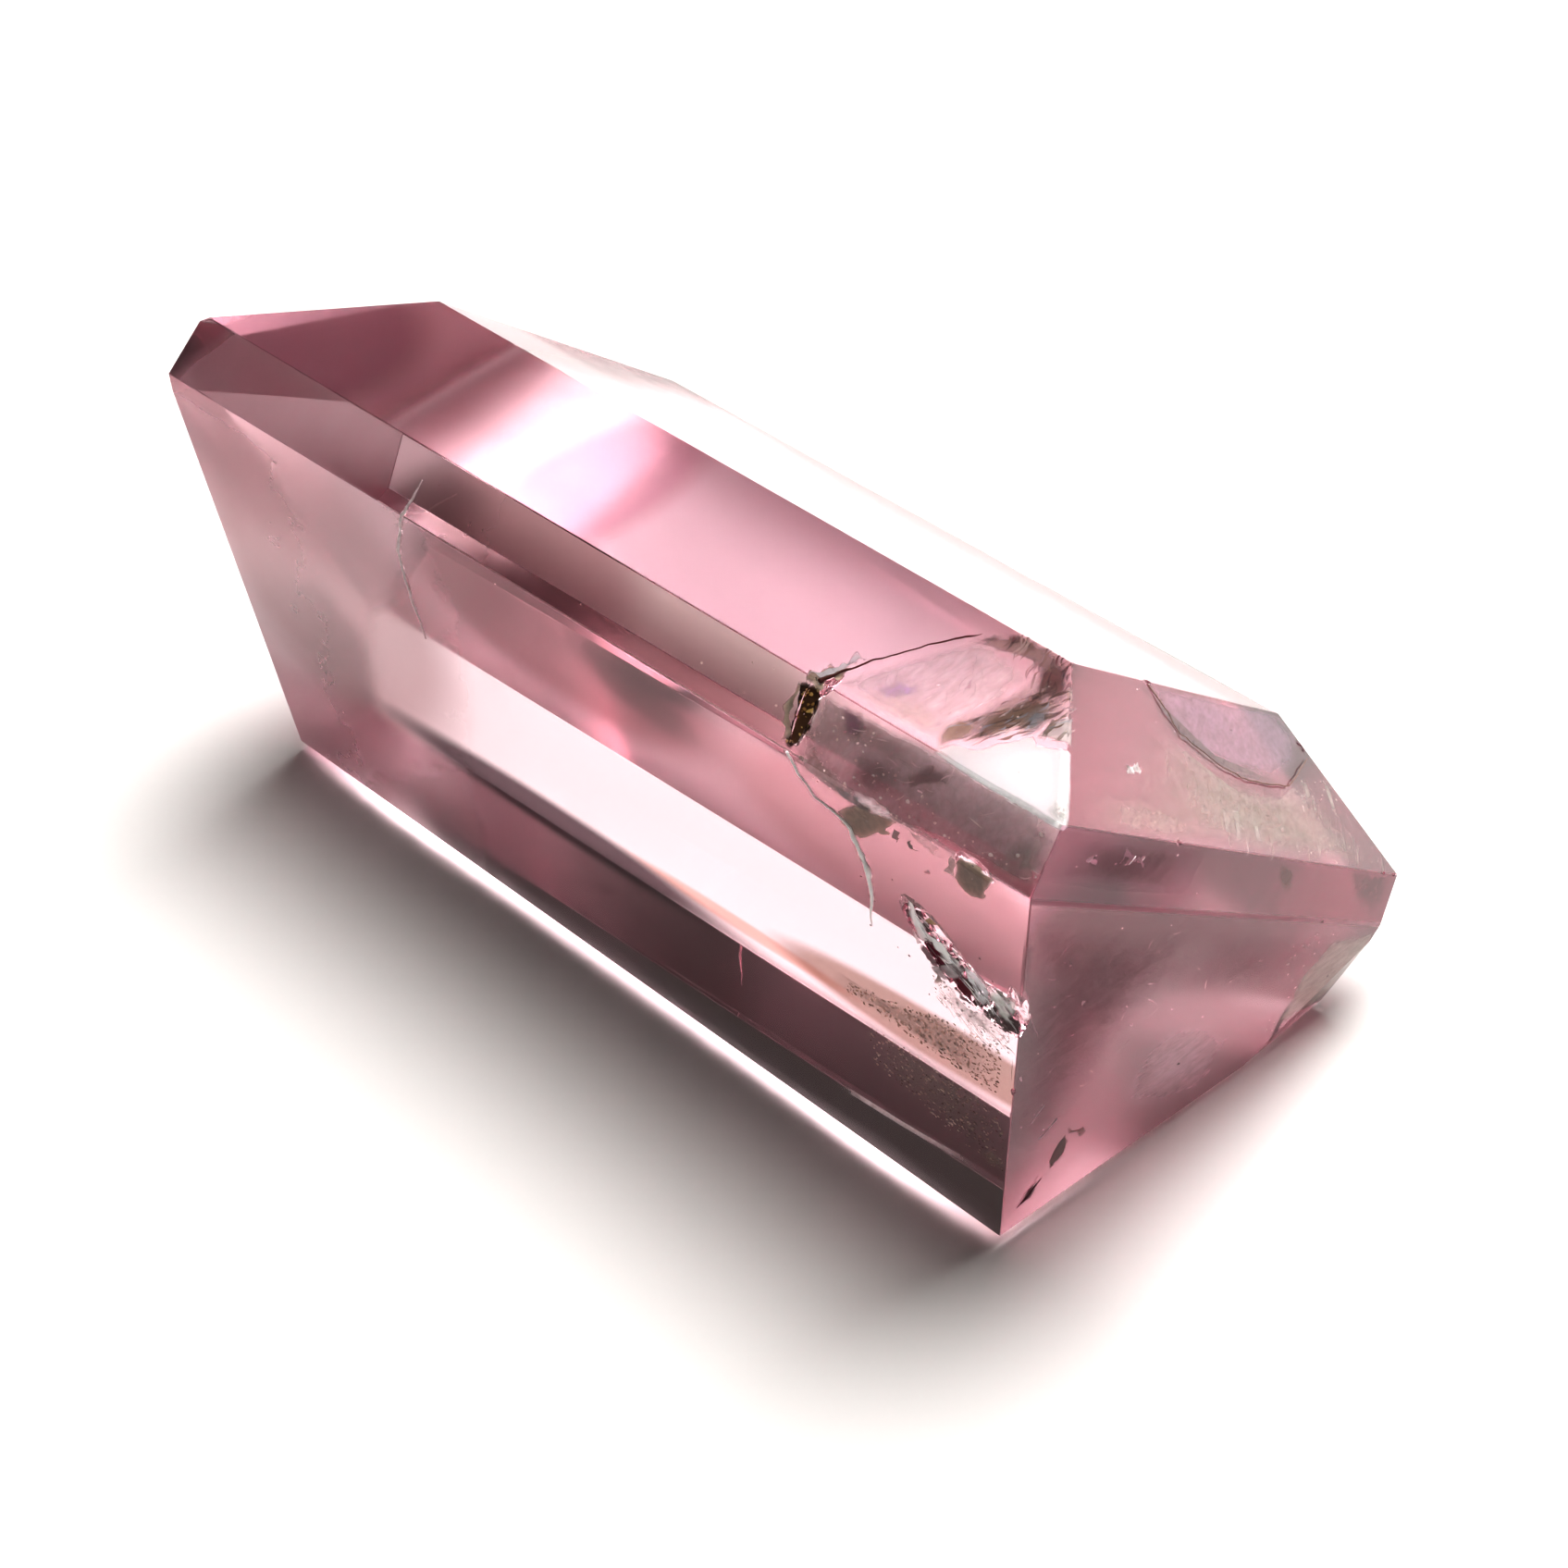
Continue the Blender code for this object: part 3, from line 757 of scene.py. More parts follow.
        (0.29, 0.5), (0.37, 0.35), (0.99, 0.79), (1.55, 1.39), (1.68, 1.7), (1.08, 1.24)]),
    "crimsonBlob": ("endPavilion", 0.05, (0.4, 0.1, 0.2), 0.6, 0.7, 0.2, [
        (2.23, 2.65), (2.41, 2.63), (2.82, 2.96), (2.91, 3.19), (2.57, 3.02)]),
    "brownSpot": ("endPavilion", 0.06, (0.17, 0.08, 0.06), 0.95, 0.25, 0.2, [
        (5.38, 4.1), (5.48, 4.03), (5.78, 4.22), (5.87, 4.44), (5.83, 4.61), (5.85, 4.79), (5.61, 4.67),
        (5.54, 4.46), (5.62, 4.32)]),
    "brownSpotTop": ("endPavilion", 0.06, (0.24, 0.12, 0.1), 0.8, 0.4, 0.25, [
        (5.4, 3.96), (5.7, 3.87), (6.15, 3.96), (6.03, 4.06), (5.74, 4.12)]),
    "hookCrack": ("endPavilion", 0.05, (0.2, 0.1, 0.1), 0.9, 0.3, 0.1, [
        (5.49, 5.4), (5.51, 5.26), (5.49, 5.09), (5.59, 4.92), (5.76, 5.17), (5.65, 5.34)]),
    "whiteDot": ("endPavilion", 0.04, (1, 1, 1), 0.9, 0.4, 0.1, [
        (2.85, 2.91), (2.95, 2.91), (3.07, 3), (2.96, 3)]),
    "scratchA": ("endPavilion", 0.03, (0.8, 0.72, 0.74), 0.8, 0.4, 0.1, [
        (1.8, 1.7), (2.02, 1.83), (2.65, 2.21), (2.82, 2.33), (2.59, 2.21), (2, 1.86)]),
    # painted shade: a beige film just outside the end crown facet dulls and darkens it
    "beigeShade": ("endCrown", -0.003, (0.70, 0.64, 0.58), 0.40, 0.9, 0.04, [
        (0.6, 0.05), (4.0, 0.02), (8.0, 0.02), (11.0, 0.1), (10.6, 1.2), (8.0, 1.1), (5.6, 1.6),
        (3.4, 1.9), (1.8, 1.2)]),
    "lilacPatch": ("endCrown", 0.1, (0.76, 0.55, 0.72), 0.55, 0.3, 0.04, [
        (4.22, 2.66), (4.65, 1.98), (5.51, 1.56), (6.6, 1.41), (8.27, 1.38), (9.44, 1.8), (9.9, 2.29),
        (9.48, 2.7), (7.11, 2.68)]),
    "lilacRim": ("endCrown", 0.09, (0.42, 0.30, 0.30), 0.6, 0.4, 0.03, [
        (4.09, 2.64), (4.28, 2.67), (4.73, 2), (5.56, 1.55), (6.64, 1.38), (8.24, 1.35), (8.07, 1.24),
        (6.48, 1.28), (5.34, 1.44), (4.49, 1.89)]),
    "beigeStreaks": ("endCrown", 0.09, (0.90, 0.88, 0.80), 0.5, 0.6, 0.05, [
        (3.86, 2.07), (4.45, 1.69), (5.31, 1.33), (6.63, 1.18), (8.19, 1.21), (9.37, 1.64), (10.15, 0.98),
        (11.18, 0.07), (8.83, 0.01), (5.03, 0), (3.54, 0.3), (3.51, 1.16)]),
    "combA": ("endCrown", 0.06, (0.97, 0.96, 0.93), 0.85, 0.8, 0.04, [
        (5.51, 0.8), (5.62, 0.72), (5.34, 0.24), (5.2, 0.24)]),
    "combB": ("endCrown", 0.06, (0.97, 0.96, 0.93), 0.85, 0.8, 0.04, [
        (5.95, 0.86), (6.15, 0.82), (5.66, 0.12), (5.46, 0.12)]),
    "combC": ("endCrown", 0.06, (0.97, 0.96, 0.93), 0.85, 0.8, 0.04, [
        (6.52, 0.8), (6.72, 0.76), (6.4, 0.14), (6.2, 0.2)]),
    "combD": ("endCrown", 0.06, (0.92, 0.93, 0.82), 0.75, 0.8, 0.04, [
        (9.05, 1.5), (9.3, 1.5), (9.15, 1.1), (8.95, 1.15)]),
    "combE": ("endCrown", 0.06, (0.92, 0.93, 0.82), 0.75, 0.8, 0.04, [
        (9.98, 1.66), (10.2, 1.6), (10, 0.9), (9.8, 0.95)]),
    "warmGlow": ("endCrown", 0.13, (0.92, 0.84, 0.74), 0.45, 0.9, 0.05, [
        (1.05, 0.65), (2.7, 0.69), (4.64, 0.53), (5.3, 0.22), (4.18, -0.01), (2.15, -0.01), (0.56, 0.07)]),
    "glintA": ("endCrown", 0.02, (1, 1, 1), 1, 0.2, 0.2, [
        (2.55, 0.98), (2.86, 1.1), (3.18, 1.21), (3.05, 1.09), (3.1, 1), (2.81, 0.96)]),
    "girdleGlintA": ("endGirdle", 0.02, (1, 1, 1), 1, 0.3, 0.2, [
        (1.82, 0.37), (2.16, 0.28), (2.6, 0.28), (2.7, 0.32), (2.23, 0.37)]),
    "girdleGlintB": ("endGirdle", 0.02, (1, 1, 1), 1, 0.3, 0.2, [
        (0.98, 0.42), (1.28, 0.33), (1.28, 0.4), (1.06, 0.45)]),
    "girdleBlob": ("endGirdle", 0.05, (0.32, 0.2, 0.16), 0.7, 0.5, 0.15, [
        (6.96, 0.11), (7.3, 0.03), (7.68, 0.22), (7.77, 0.47), (7.5, 0.54), (7.09, 0.33)]),
    "girdleEnd": ("endGirdle", 0.06, (0.28, 0.2, 0.19), 0.6, 0.6, 0.15, [
        (9.38, 0.01), (10.31, -0.02), (11.5, 0.07), (11.58, 0.47), (11.09, 0.77), (10.17, 0.54)]),
    "breakGreen": ("endPavilion", 0.02, (0.78, 0.80, 0.70), 0.6, 0.25, 0.06, [
        (10.3, 2.07), (10.2, 1.61), (9.95, 1.06), (10.33, 0.33), (11.81, 0.08), (12.17, 0.75),
        (12.08, 1.51),
        (11.53, 1.8)]),
    "breakLine": ("endPavilion", 0.03, (0.30, 0.20, 0.22), 0.8, 0.5, 0.03, [
        (10.55, 2.5), (10.8, 2.5), (10.5, 1.89), (10.42, 1.55), (10.24, 1.55), (10.29, 1.89)]),
}

specks = {
    # single chips of film: facet, depth mm, colour, then (along, across, size) mm of each
    "whiteGirdle": ("girdle", 0.03, (1, 0.97, 0.94), [
        (3.69, 0.27, 0.06), (3.17, 0.43, 0.05), (2.84, 0.72, 0.07), (3.09, 0.88, 0.06),
        (3.14, 1.05, 0.06), (3.44, 1.36, 0.09), (2.19, 0.78, 0.09), (3.29, 0.46, 0.06),
        (3.16, 0.52, 0.05), (2.58, 0.93, 0.06), (2.96, 0.93, 0.05), (3.04, 1.11, 0.05),
        (2.32, 1.04, 0.07), (2.09, 1.07, 0.09), (1.93, 1.09, 0.1), (1.83, 1.14, 0.07),
        (1.58, 1.1, 0.06), (1.45, 0.91, 0.07), (0.72, 0.81, 0.09), (0.36, 0.63, 0.09),
        (0.21, 0.24, 0.1), (1.52, 1.01, 0.05), (3.72, 0.49, 0.05), (3.89, 1.03, 0.05),
        (3.75, 1.36, 0.06), (3.68, 1.41, 0.06), (3.56, 1.01, 0.05), (-0, 0.75, 0.06),
        (-0.03, 0.16, 0.06), (8.52, 0.82, 0.05), (5.41, 0.26, 0.05), (5.04, 0.17, 0.05),
        (4.73, 0.6, 0.05), (6.16, 0.63, 0.05), (5.3, 0.68, 0.05), (10.25, 1.44, 0.05),
    ]),
    "darkPavilion": ("pavilion", 0.03, (0.20, 0.16, 0.17), [
        (1.01, 0.07, 0.06), (3.12, 1.7, 0.07), (2.89, 2.05, 0.05), (3.03, 2.65, 0.05),
        (2.52, 2.75, 0.04), (2.31, 2.78, 0.06), (1.81, 0.7, 0.07), (2.51, 1.35, 0.04),
        (0.97, 1.86, 0.05), (0.76, 2.18, 0.06), (1.28, 2.1, 0.05), (1.97, 3.36, 0.05),
    ]),
    "whiteEnd": ("endPavilion", 0.03, (0.95, 0.88, 0.90), [
        (2.25, 1, 0.06), (3.01, 0.35, 0.05), (0.09, 0.36, 0.04), (3.65, 2.19, 0.04),
        (2.97, 2.51, 0.05), (2.56, 1.7, 0.05), (3.94, 3.86, 0.05), (3.69, 2.85, 0.04),
        (4.12, 3.46, 0.05), (4.68, 3.93, 0.05), (4.08, 3.63, 0.04), (7.45, 1.88, 0.04),
        (7.59, 1.21, 0.04),
    ]),
    "whiteCrown": ("crown", 0.03, (0.95, 0.88, 0.84), [
        (11.92, -0.58, 0.05), (9.79, -0, 0.03), (8.07, 0.4, 0.03), (4, 2.72, 0.03), (5.25, 2.84, 0.03),
        (4.35, 0.25, 0.05), (4.3, 0.56, 0.05), (1.87, 1.32, 0.05), (2.03, 1.22, 0.05),
        (2.08, 0.8, 0.04), (2, 2.13, 0.04),
    ]),
    "whiteEndCrown": ("endCrown", 0.03, (0.98, 0.95, 0.92), [
        (2.75, 1.03, 0.1), (4.56, 2.64, 0.06), (4.41, 2.76, 0.05), (4.32, 1.97, 0.04),
        (8.8, 1.19, 0.08), (8.65, 0.99, 0.08), (9.85, 1.53, 0.07), (9.91, 0.96, 0.06),
        (5.78, 0.55, 0.05), (5.92, 0.41, 0.05), (6.55, 0.69, 0.05), (4.12, 2.47, 0.05),
        (4.85, 1.88, 0.04),
    ]),
}

grains = {
    # chips strewn over an area: facet, depth mm, count, size mm, colours, outline that they lie in
    # painted shade: specks for the fibres of the shaded paper seen through the stone, gold-tinted above and
    # dark below
    "goldGrain": ("pavilion", 0.05, 560, 0.046,
                  [(0.84, 0.74, 0.58), (0.96, 0.92, 0.86), (0.36, 0.27, 0.18)], [
        (3.6, 4.3), (2.84, 4.14), (1.75, 3.68), (0.65, 3.57), (0.77, 4.68), (1.81, 4.66),
        (2.88, 4.62), (3.7, 4.6)]),
    "paperShadeDarkGrain": ("pavilion", 0.05, 420, 0.042,
                  [(0.62, 0.58, 0.50), (0.12, 0.09, 0.08), (0.45, 0.38, 0.32)], [
        (3.33, 5), (2.15, 5.03), (0.68, 5.03), (0.77, 6.51), (1.34, 6.44), (2.23, 6.18), (3.23, 5.89)]),
    "haloGrain": ("pavilion", 0.03, 160, 0.04, [(1.0, 1.0, 0.98), (0.80, 0.82, 0.78), (0.30, 0.26, 0.25)], [
        (1.9, 2.87), (1.63, 2.87), (1.2, 3.06), (0.82, 2.93), (0.46, 3.05), (0.51, 3.53), (1.02, 3.52),
        (1.53, 3.47), (1.9, 3.31)]),
    "mouthGold": ("girdle", 0.06, 44, 0.06, [(0.62, 0.44, 0.18), (0.85, 0.66, 0.40), (0.34, 0.20, 0.08)], [
        (4.49, 0.16), (4.29, 0.09), (4.15, 0.35), (4.13, 0.67), (4.24, 0.98), (4.32, 0.94),
        (4.41, 0.52), (4.47, 0.29)]),
    "girdleGrain": ("girdle", 0.06, 90, 0.04,
                    [(0.66, 0.56, 0.54), (0.88, 0.82, 0.78), (0.40, 0.26, 0.28)], [
        (4.14, 1.02), (4.14, 0.27), (2.88, 0.21), (1.73, 0.74), (0.26, 0.79), (0.8, 0.94),
        (1.94, 1.05), (3.06, 1.4)]),
    "endGrain": ("endCrown", 0.06, 70, 0.05, [(0.86, 0.84, 0.80), (0.98, 0.96, 0.92), (0.40, 0.34, 0.30)], [
        (8.35, 1.39), (9.65, 1.78), (10.47, 1.5), (10.99, 0.47), (11.27, 0.16), (8.88, 0.06),
        (7.55, 0.15)]),
    "breakGrain": ("endPavilion", 0.04, 90, 0.05,
                   [(0.86, 0.84, 0.78), (0.40, 0.42, 0.36), (0.96, 0.93, 0.90)], [
        (8.73, 0.28), (11.5, 0.2), (12, 1.09), (12.26, 1.61), (11.37, 2.23), (10.46, 2.64),
        (9.69, 1.52)]),
}

strokes = {
    # narrow lenses strewn over an area: facet, depth mm, count, length mm, width mm,
    # turn and spread in degrees, cover, colours, outline that they lie in
    "veilDark": ("crown", 0.095, 46, 0.55, 0.045, 104, 14, 0.8, [(0.20, 0.13, 0.10), (0.32, 0.23, 0.18)], [
        (2.42, 0.5), (2.25, 1.31), (2.05, 1.9), (1.8, 2.4), (1.3, 1.84), (1.43, 1.3),
        (1.6, 1.05), (1.97, 0.4)]),
    "veilPale": ("crown", 0.09, 30, 0.4, 0.04, 100, 20, 0.8, [(0.88, 0.84, 0.78), (0.62, 0.70, 0.73)], [
        (2.42, 0.5), (2.1, 1.31), (1.85, 1.9), (1.5, 2.1), (1.1, 1.55), (1.43, 1.2), (1.6, 1.0),
        (1.97, 0.4)]),
    "redStreak": ("crown", 0.095, 34, 0.5, 0.04, 66, 14, 0.8,
                  [(0.20, 0.10, 0.10), (0.34, 0.24, 0.20), (0.7, 0.6, 0.55)], [
        (3.2, 2.5), (2.9, 2.85), (2.45, 2.82), (2.12, 2.75), (1.67, 2.2), (1.77, 1.9),
        (2.17, 2.0), (2.6, 2.4)]),
    "paleStreak": ("crown", 0.12, 18, 0.6, 0.026, 62, 12, 0.28, [(0.98, 0.95, 0.94), (0.70, 0.62, 0.62)], [
        (4.1, 0.5), (3.5, 2.1), (2.7, 2.5), (2.2, 1.9), (2.3, 0.5), (3.4, 0.2)]),
    "combPale": ("endCrown", 0.05, 54, 0.5, 0.045, 58, 16, 0.6,
                 [(0.97, 0.96, 0.92), (0.90, 0.90, 0.80), (0.62, 0.56, 0.50)], [
        (3.9, 1.5), (5.3, 1.2), (6.6, 1.1), (8.2, 1.1), (9.4, 1.6), (10.1, 1.0), (11.1, 0.15),
        (8.8, 0.1), (5.0, 0.1)]),
    "girdleScratch": ("girdle", 0.05, 34, 0.28, 0.022, 40, 60, 0.7,
                      [(0.84, 0.76, 0.74), (0.92, 0.88, 0.84)], [
        (4.2, 0.15), (0.1, 0.1), (0.0, 0.9), (1.9, 0.95), (4.1, 0.95)]),
    "endScratch": ("endPavilion", 0.03, 26, 0.34, 0.022, 30, 50, 0.6,
                   [(0.86, 0.74, 0.78), (0.94, 0.86, 0.88)], [
        (0.4, 0.3), (4.6, 0.3), (7.5, 0.6), (5.6, 2.6), (4.6, 4.2), (2.6, 2.6)]),
    "chipStreak": ("pavilion", 0.02, 60, 0.32, 0.05, 142, 16, 0.85,
                   [(1, 0.98, 0.98), (0.86, 0.84, 0.88), (0.42, 0.36, 0.38)], [
        (2.25, 1.65), (1.6, 1.85), (1.2, 2.15), (0.45, 2.3), (0.45, 2.9), (1.0, 2.95),
        (1.6, 2.6), (2.1, 2.3)]),
    "haloStreak": ("pavilion", 0.05, 40, 0.4, 0.03, 150, 20, 0.5,
                   [(0.78, 0.78, 0.74), (0.55, 0.50, 0.46)], [
        (1.9, 2.87), (1.2, 3.06), (0.5, 3.05), (0.51, 3.53), (1.02, 3.62), (1.9, 3.4)]),
}


def evenOutline(corners, count):
    # evenly spaced points round a closed outline, blended between its corners
    ring = np.vstack([corners, corners[:1]])
    length = np.concatenate([[0], np.cumsum(np.linalg.norm(np.diff(ring, axis=0), axis=1))])
    run = np.linspace(0, length[-1], count, endpoint=False)
    return np.stack([np.interp(run, length, ring[:, axis]) for axis in range(2)], -1)


def insideOutline(points, corners):
    # a point is inside where a line from it crosses the outline an odd number of times
    after = np.roll(corners, -1, axis=0)
    x, y = points[:, :1], points[:, 1:]
    spans = (corners[:, 1] > y) != (after[:, 1] > y)
    slope = (after[:, 0] - corners[:, 0]) / (after[:, 1] - corners[:, 1] + 1e-12)
    crossing = corners[:, 0] + slope * (y - corners[:, 1])
    return (spans & (x < crossing)).sum(1) % 2 == 1


filmShape = {
    "rings": (0.02, 0.22, 0.42, 0.58, 0.72, 0.84, 0.93, 1.0),      # shares of the way to the outline
    "cells": (0.17, 0.07),      # coarse and fine raggedness, mm
    "fine": 0.6,                # strength of the fine one beside the coarse one
    "keep": 0.012,              # how far inside the other facets a film stays, mm
    "layer": 0.0004,            # films that follow each other lie this much deeper, mm
}


class Flecks:
    # thin films just inside the stone, gathered as arrays of places, colours, cover and faces
    def __init__(self):
        self.places, self.tints, self.covers, self.faces, self.count = [], [], [], [], 0

    def add(self, places, tint, cover, faces):
        # one tint and one cover serve all the places, or there is one cover for each
        self.places.append(places)
        self.tints.append(np.broadcast_to(tint, (len(places), 3)))
        self.covers.append(np.broadcast_to(cover, (len(places),)))
        self.faces += (np.array(faces) + self.count).tolist()
        self.count += len(places)

    def lay(self, name, flat, depth):
        # start + u * along + v * across - depth * normal; what is beyond another facet goes straight back
        start, along, across, own = frames[name]
        places = start + flat[..., :1] * along + flat[..., 1:] * across - own * depth
        for normal, distance in facets:
            if normal @ own < 0.999:
                past = np.maximum(places @ normal - distance + filmShape["keep"], 0)
                places = places - np.multiply.outer(past, normal)
        return places

    def film(self, name, outline, depth, tint, cover, soft, ragged, seed, count=64):
        # rings shrink from the outline to its middle, pushed in and out by noise;
        # the cover fades over the soft outer part by t * t * (3 - 2 * t)
        ring = evenOutline(np.array(outline), count)
        middle = ring.mean(0)
        reach = np.array(filmShape["rings"])[:, None]
        flat = middle + reach[..., None] * (ring - middle)
        coarse, fine = filmShape["cells"]
        push = cloudNoise(np.dstack([flat, np.full(flat.shape[:2], seed * 3.7)]), coarse, seed)
        level = np.full(flat.shape[:2], seed * 1.3)
        push += filmShape["fine"] * cloudNoise(np.dstack([flat, level]), fine, seed + 1)
        flat = flat + unit((1, 1)) * ragged * push[..., None] * reach[..., None]
        places = self.lay(name, flat, depth)
        fade = np.clip((1 - reach) / max(soft, 0.01), 0, 1)
        fade = np.broadcast_to(cover * fade * fade * (3 - 2 * fade), places.shape[:2])
        self.add(places.reshape(-1, 3), tint, fade.ravel(), gridFaces(len(reach), count, True))

    def crumb(self, name, spot, size, depth, tint, seed):
        # a five- to seven-sided chip of film: spot + reach * (cos, 0.8 * sin)
        random = np.random.default_rng(seed)
        count = random.integers(5, 8)
        turn = np.linspace(0, 2 * np.pi, count, endpoint=False) + random.uniform(0, 2)
        reach = size * random.uniform(0.5, 1.1, count) / 2
        flat = np.array(spot) + np.stack([reach * np.cos(turn), 0.8 * reach * np.sin(turn)], -1)
        self.add(self.lay(name, flat, depth), tint, 1.0, [list(range(count))])

    def sliver(self, name, spot, length, width, turn, depth, tint, cover, bend):
        # a lens: at a share t of the half length, the half width is width / 2 * (1.02 - t * t),
        # and the middle line is bend * (1 - t * t) off the straight
        share = np.linspace(-1, 1, 7)[:, None]
        run, side = np.array([np.cos(turn), np.sin(turn)]), np.array([-np.sin(turn), np.cos(turn)])
        core = np.array(spot) + length / 2 * share * run + bend * (1 - share * share) * side
        half = width / 2 * (1.02 - share * share) * side
        flat = np.stack([core - half, core + half])
        places = self.lay(name, flat, depth)
        self.add(places.reshape(-1, 3), tint, cover, gridFaces(2, 7, False))

    def build(self, name, material):
        # one mesh of all the films, with the attributes tint and cover
        item = meshObject(name, np.vstack(self.places), self.faces)
        tints = np.column_stack([np.vstack(self.tints), np.ones(self.count)])
        layer = item.data.attributes.new("tint", "FLOAT_COLOR", "POINT")
        layer.data.foreach_set("color", tints.ravel())
        layer = item.data.attributes.new("cover", "FLOAT", "POINT")
        layer.data.foreach_set("value", np.concatenate(self.covers))
        item.data.materials.append(material)
        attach(item, "root")


filmLook = {
    "stretch": (1.0, 0.3, 1.0),     # the noise is drawn out along y
    "grainScale": 9.0,
    "grainReach": (0.30, 0.70),     # the noise is dark below the first and bright above the second
    "grainDark": (0.78, 0.76, 0.74, 1),
    "whiteFrom": (0.90, 0.98),      # tints this pale lose the grain
    "featherScale": 6.0,
    "featherReach": 2.4,            # how strongly noise eats the thin parts of a film
    "roughness": 1.0,
    "ior": 1.02,
}


def fleckMaterial(look):
    # colour = tint * grain; alpha = cover * (1 + (noise - 0.5) * (1 - cover) * reach)
    tree = Tree("fractureStainAndPaintedLight")
    white = (1.0, 1.0, 1.0, 1)
    tint = tree.node("ShaderNodeAttribute", {"attribute_name": "tint"}, output="Color")
    cover = tree.node("ShaderNodeAttribute", {"attribute_name": "cover"}, output="Fac")
    settings = {"operation": "MULTIPLY"}
    drawn = tree.node("ShaderNodeVectorMath", settings, {0: tree.place(), 1: look["stretch"]})
    grain = tree.step(tree.noise(drawn, look["grainScale"], 3, 0.6, 0.4), *look["grainReach"])
    pale = tree.step(tree.dot(tint, (0.333, 0.333, 0.333)), *look["whiteFrom"])
    shade = tree.mix(pale, tree.mix(grain, look["grainDark"], white), white)
    tree.set(base_color=tree.mix(1.0, tint, shade, "MULTIPLY"))
    tree.set(roughness=look["roughness"], ior=look["ior"])
    feather = tree.noise(drawn, look["featherScale"], 5, 0.7, 1.0)
    ragged = (feather - 0.5) * (1.0 - cover) * look["featherReach"]
    tree.set(alpha=cover * (ragged + 1.0))
    return tree.material


def strewn(corners, draws, count, random):
    # the first of the drawn spots that lie inside the outline
    spots = random.uniform(corners.min(0), corners.max(0), (draws, 2))
    return spots[insideOutline(spots, corners)][:count]


def makeFlecks(material):
    # one piece for each facet: its films, its chips, its grains and its strokes
    kinds = {}
    for order, (facet, depth, tint, cover, soft, ragged, outline) in enumerate(patches.values()):
        flecks = kinds.setdefault(facet, Flecks())
        depth = depth + filmShape["layer"] * (order % 7)
        flecks.film(facet, outline, depth, tint, cover, soft, ragged, order + 11)
    for order, (facet, depth, tint, spots) in enumerate(specks.values()):
        for number, (along, across, size) in enumerate(spots):
            kinds[facet].crumb(facet, (along, across), size, depth, tint, 1000 * order + number)
    for order, (facet, depth, count, size, tints, outline) in enumerate(grains.values()):
        random = np.random.default_rng(70 + order)
        spots = strewn(np.array(outline), 4 * count, count, random)
        sizes = size * random.uniform(0.5, 1.6, len(spots))
        picks = random.integers(0, len(tints), len(spots))
        for number, spot in enumerate(spots):
            seed = 9000 + 997 * order + number
            under = depth + 0.01 * (number % 3)
            kinds[facet].crumb(facet, spot, sizes[number], under, tints[picks[number]], seed)
    for order, stroke in enumerate(strokes.values()):
        facet, depth, count, length, width, turn, spread, cover, tints, outline = stroke
        random = np.random.default_rng(170 + order)
        for number, spot in enumerate(strewn(np.array(outline), 6 * count, count, random)):
            size = random.uniform(0.35, 1.0)
            lean = np.radians(turn + spread * random.uniform(-1, 1))
            thick = width * random.uniform(0.5, 1.0)
            strength = cover * random.uniform(0.5, 1.0)
            bend = 0.12 * length * random.uniform(-1, 1)
            kinds[facet].sliver(facet, spot, length * size, thick, lean, depth + 0.004 * (number % 4),
                                tints[number % len(tints)], strength, bend)
    for facet, flecks in kinds.items():
        flecks.build(facet + "Flecks", material)


fleckMatter = fleckMaterial(filmLook)
makeFlecks(fleckMatter)

stains = {
    # groove that is filled: share of its radius, colour
    "crackOnCrown": (0.75, (0.13, 0.05, 0.045)),
    "crackOnPavilion": (0.75, (1.0, 0.97, 0.96)),
    "crackOnEnd": (0.9, (0.42, 0.32, 0.28)),
    "farCrack": (0.8, (0.86, 0.76, 0.78)),
    "cornerLine": (0.9, (0.20, 0.10, 0.12)),
    "scratchLong": (0.8, (0.75, 0.66, 0.70)),
    "scratchShort": (0.8, (0.72, 0.64, 0.68)),
}


def makeStains(material):
    # a core along the middle of each groove, with the same wander, kept inside the solid's box
    flecks = Flecks()
    for name, (share, tint) in stains.items():
        path, radius, wobble, seed = groovePath(name)
        rod = rodSurface(name, path, radius * share, wobble, seed + 3)
        places = np.empty(len(rod.data.vertices) * 3)
        rod.data.vertices.foreach_get("co", places)
        places = np.clip(places.reshape(-1, 3), *cadBox) / mm
        faces = [[corner + flecks.count for corner in face.vertices] for face in rod.data.polygons]
        flecks.add(places, tint, 1.0, [])
        flecks.faces += faces
        bpy.data.objects.remove(rod, do_unlink=True)
    flecks.build("crackFilling", material)


makeStains(fleckMatter)

glints = {
    # little broken faces turned so that they mirror the window: facet, then (along, across, size) mm
    "crownSpark": ("endCrown", [
        (2.80, 1.06, 0.30), (3.02, 1.10, 0.22), (5.86, 0.46, 0.13), (6.28, 0.60, 0.12),
        (5.90, 0.80, 0.09), (6.55, 0.78, 0.08), (4.42, 2.70, 0.07)]),
    "girdleSpark": ("endGirdle", [
        (2.25, 0.34, 0.34), (2.56, 0.31, 0.28), (1.10, 0.40, 0.24), (1.22, 0.34, 0.08),
        (1.85, 0.42, 0.09), (3.55, 0.18, 0.10), (0.80, 0.52, 0.06), (4.60, 0.70, 0.05)]),
    "pavilionSpark": ("endPavilion", [(2.22, 1.00, 0.06), (3.60, 2.20, 0.05), (4.40, 0.25, 0.05)]),
}
sparkle = {
    "turn": (0.20, -0.24, 0.95),
    "sink": 0.02,       # mm
    "color": (0.95, 0.93, 0.92, 1),
    "roughness": 0.28,
}


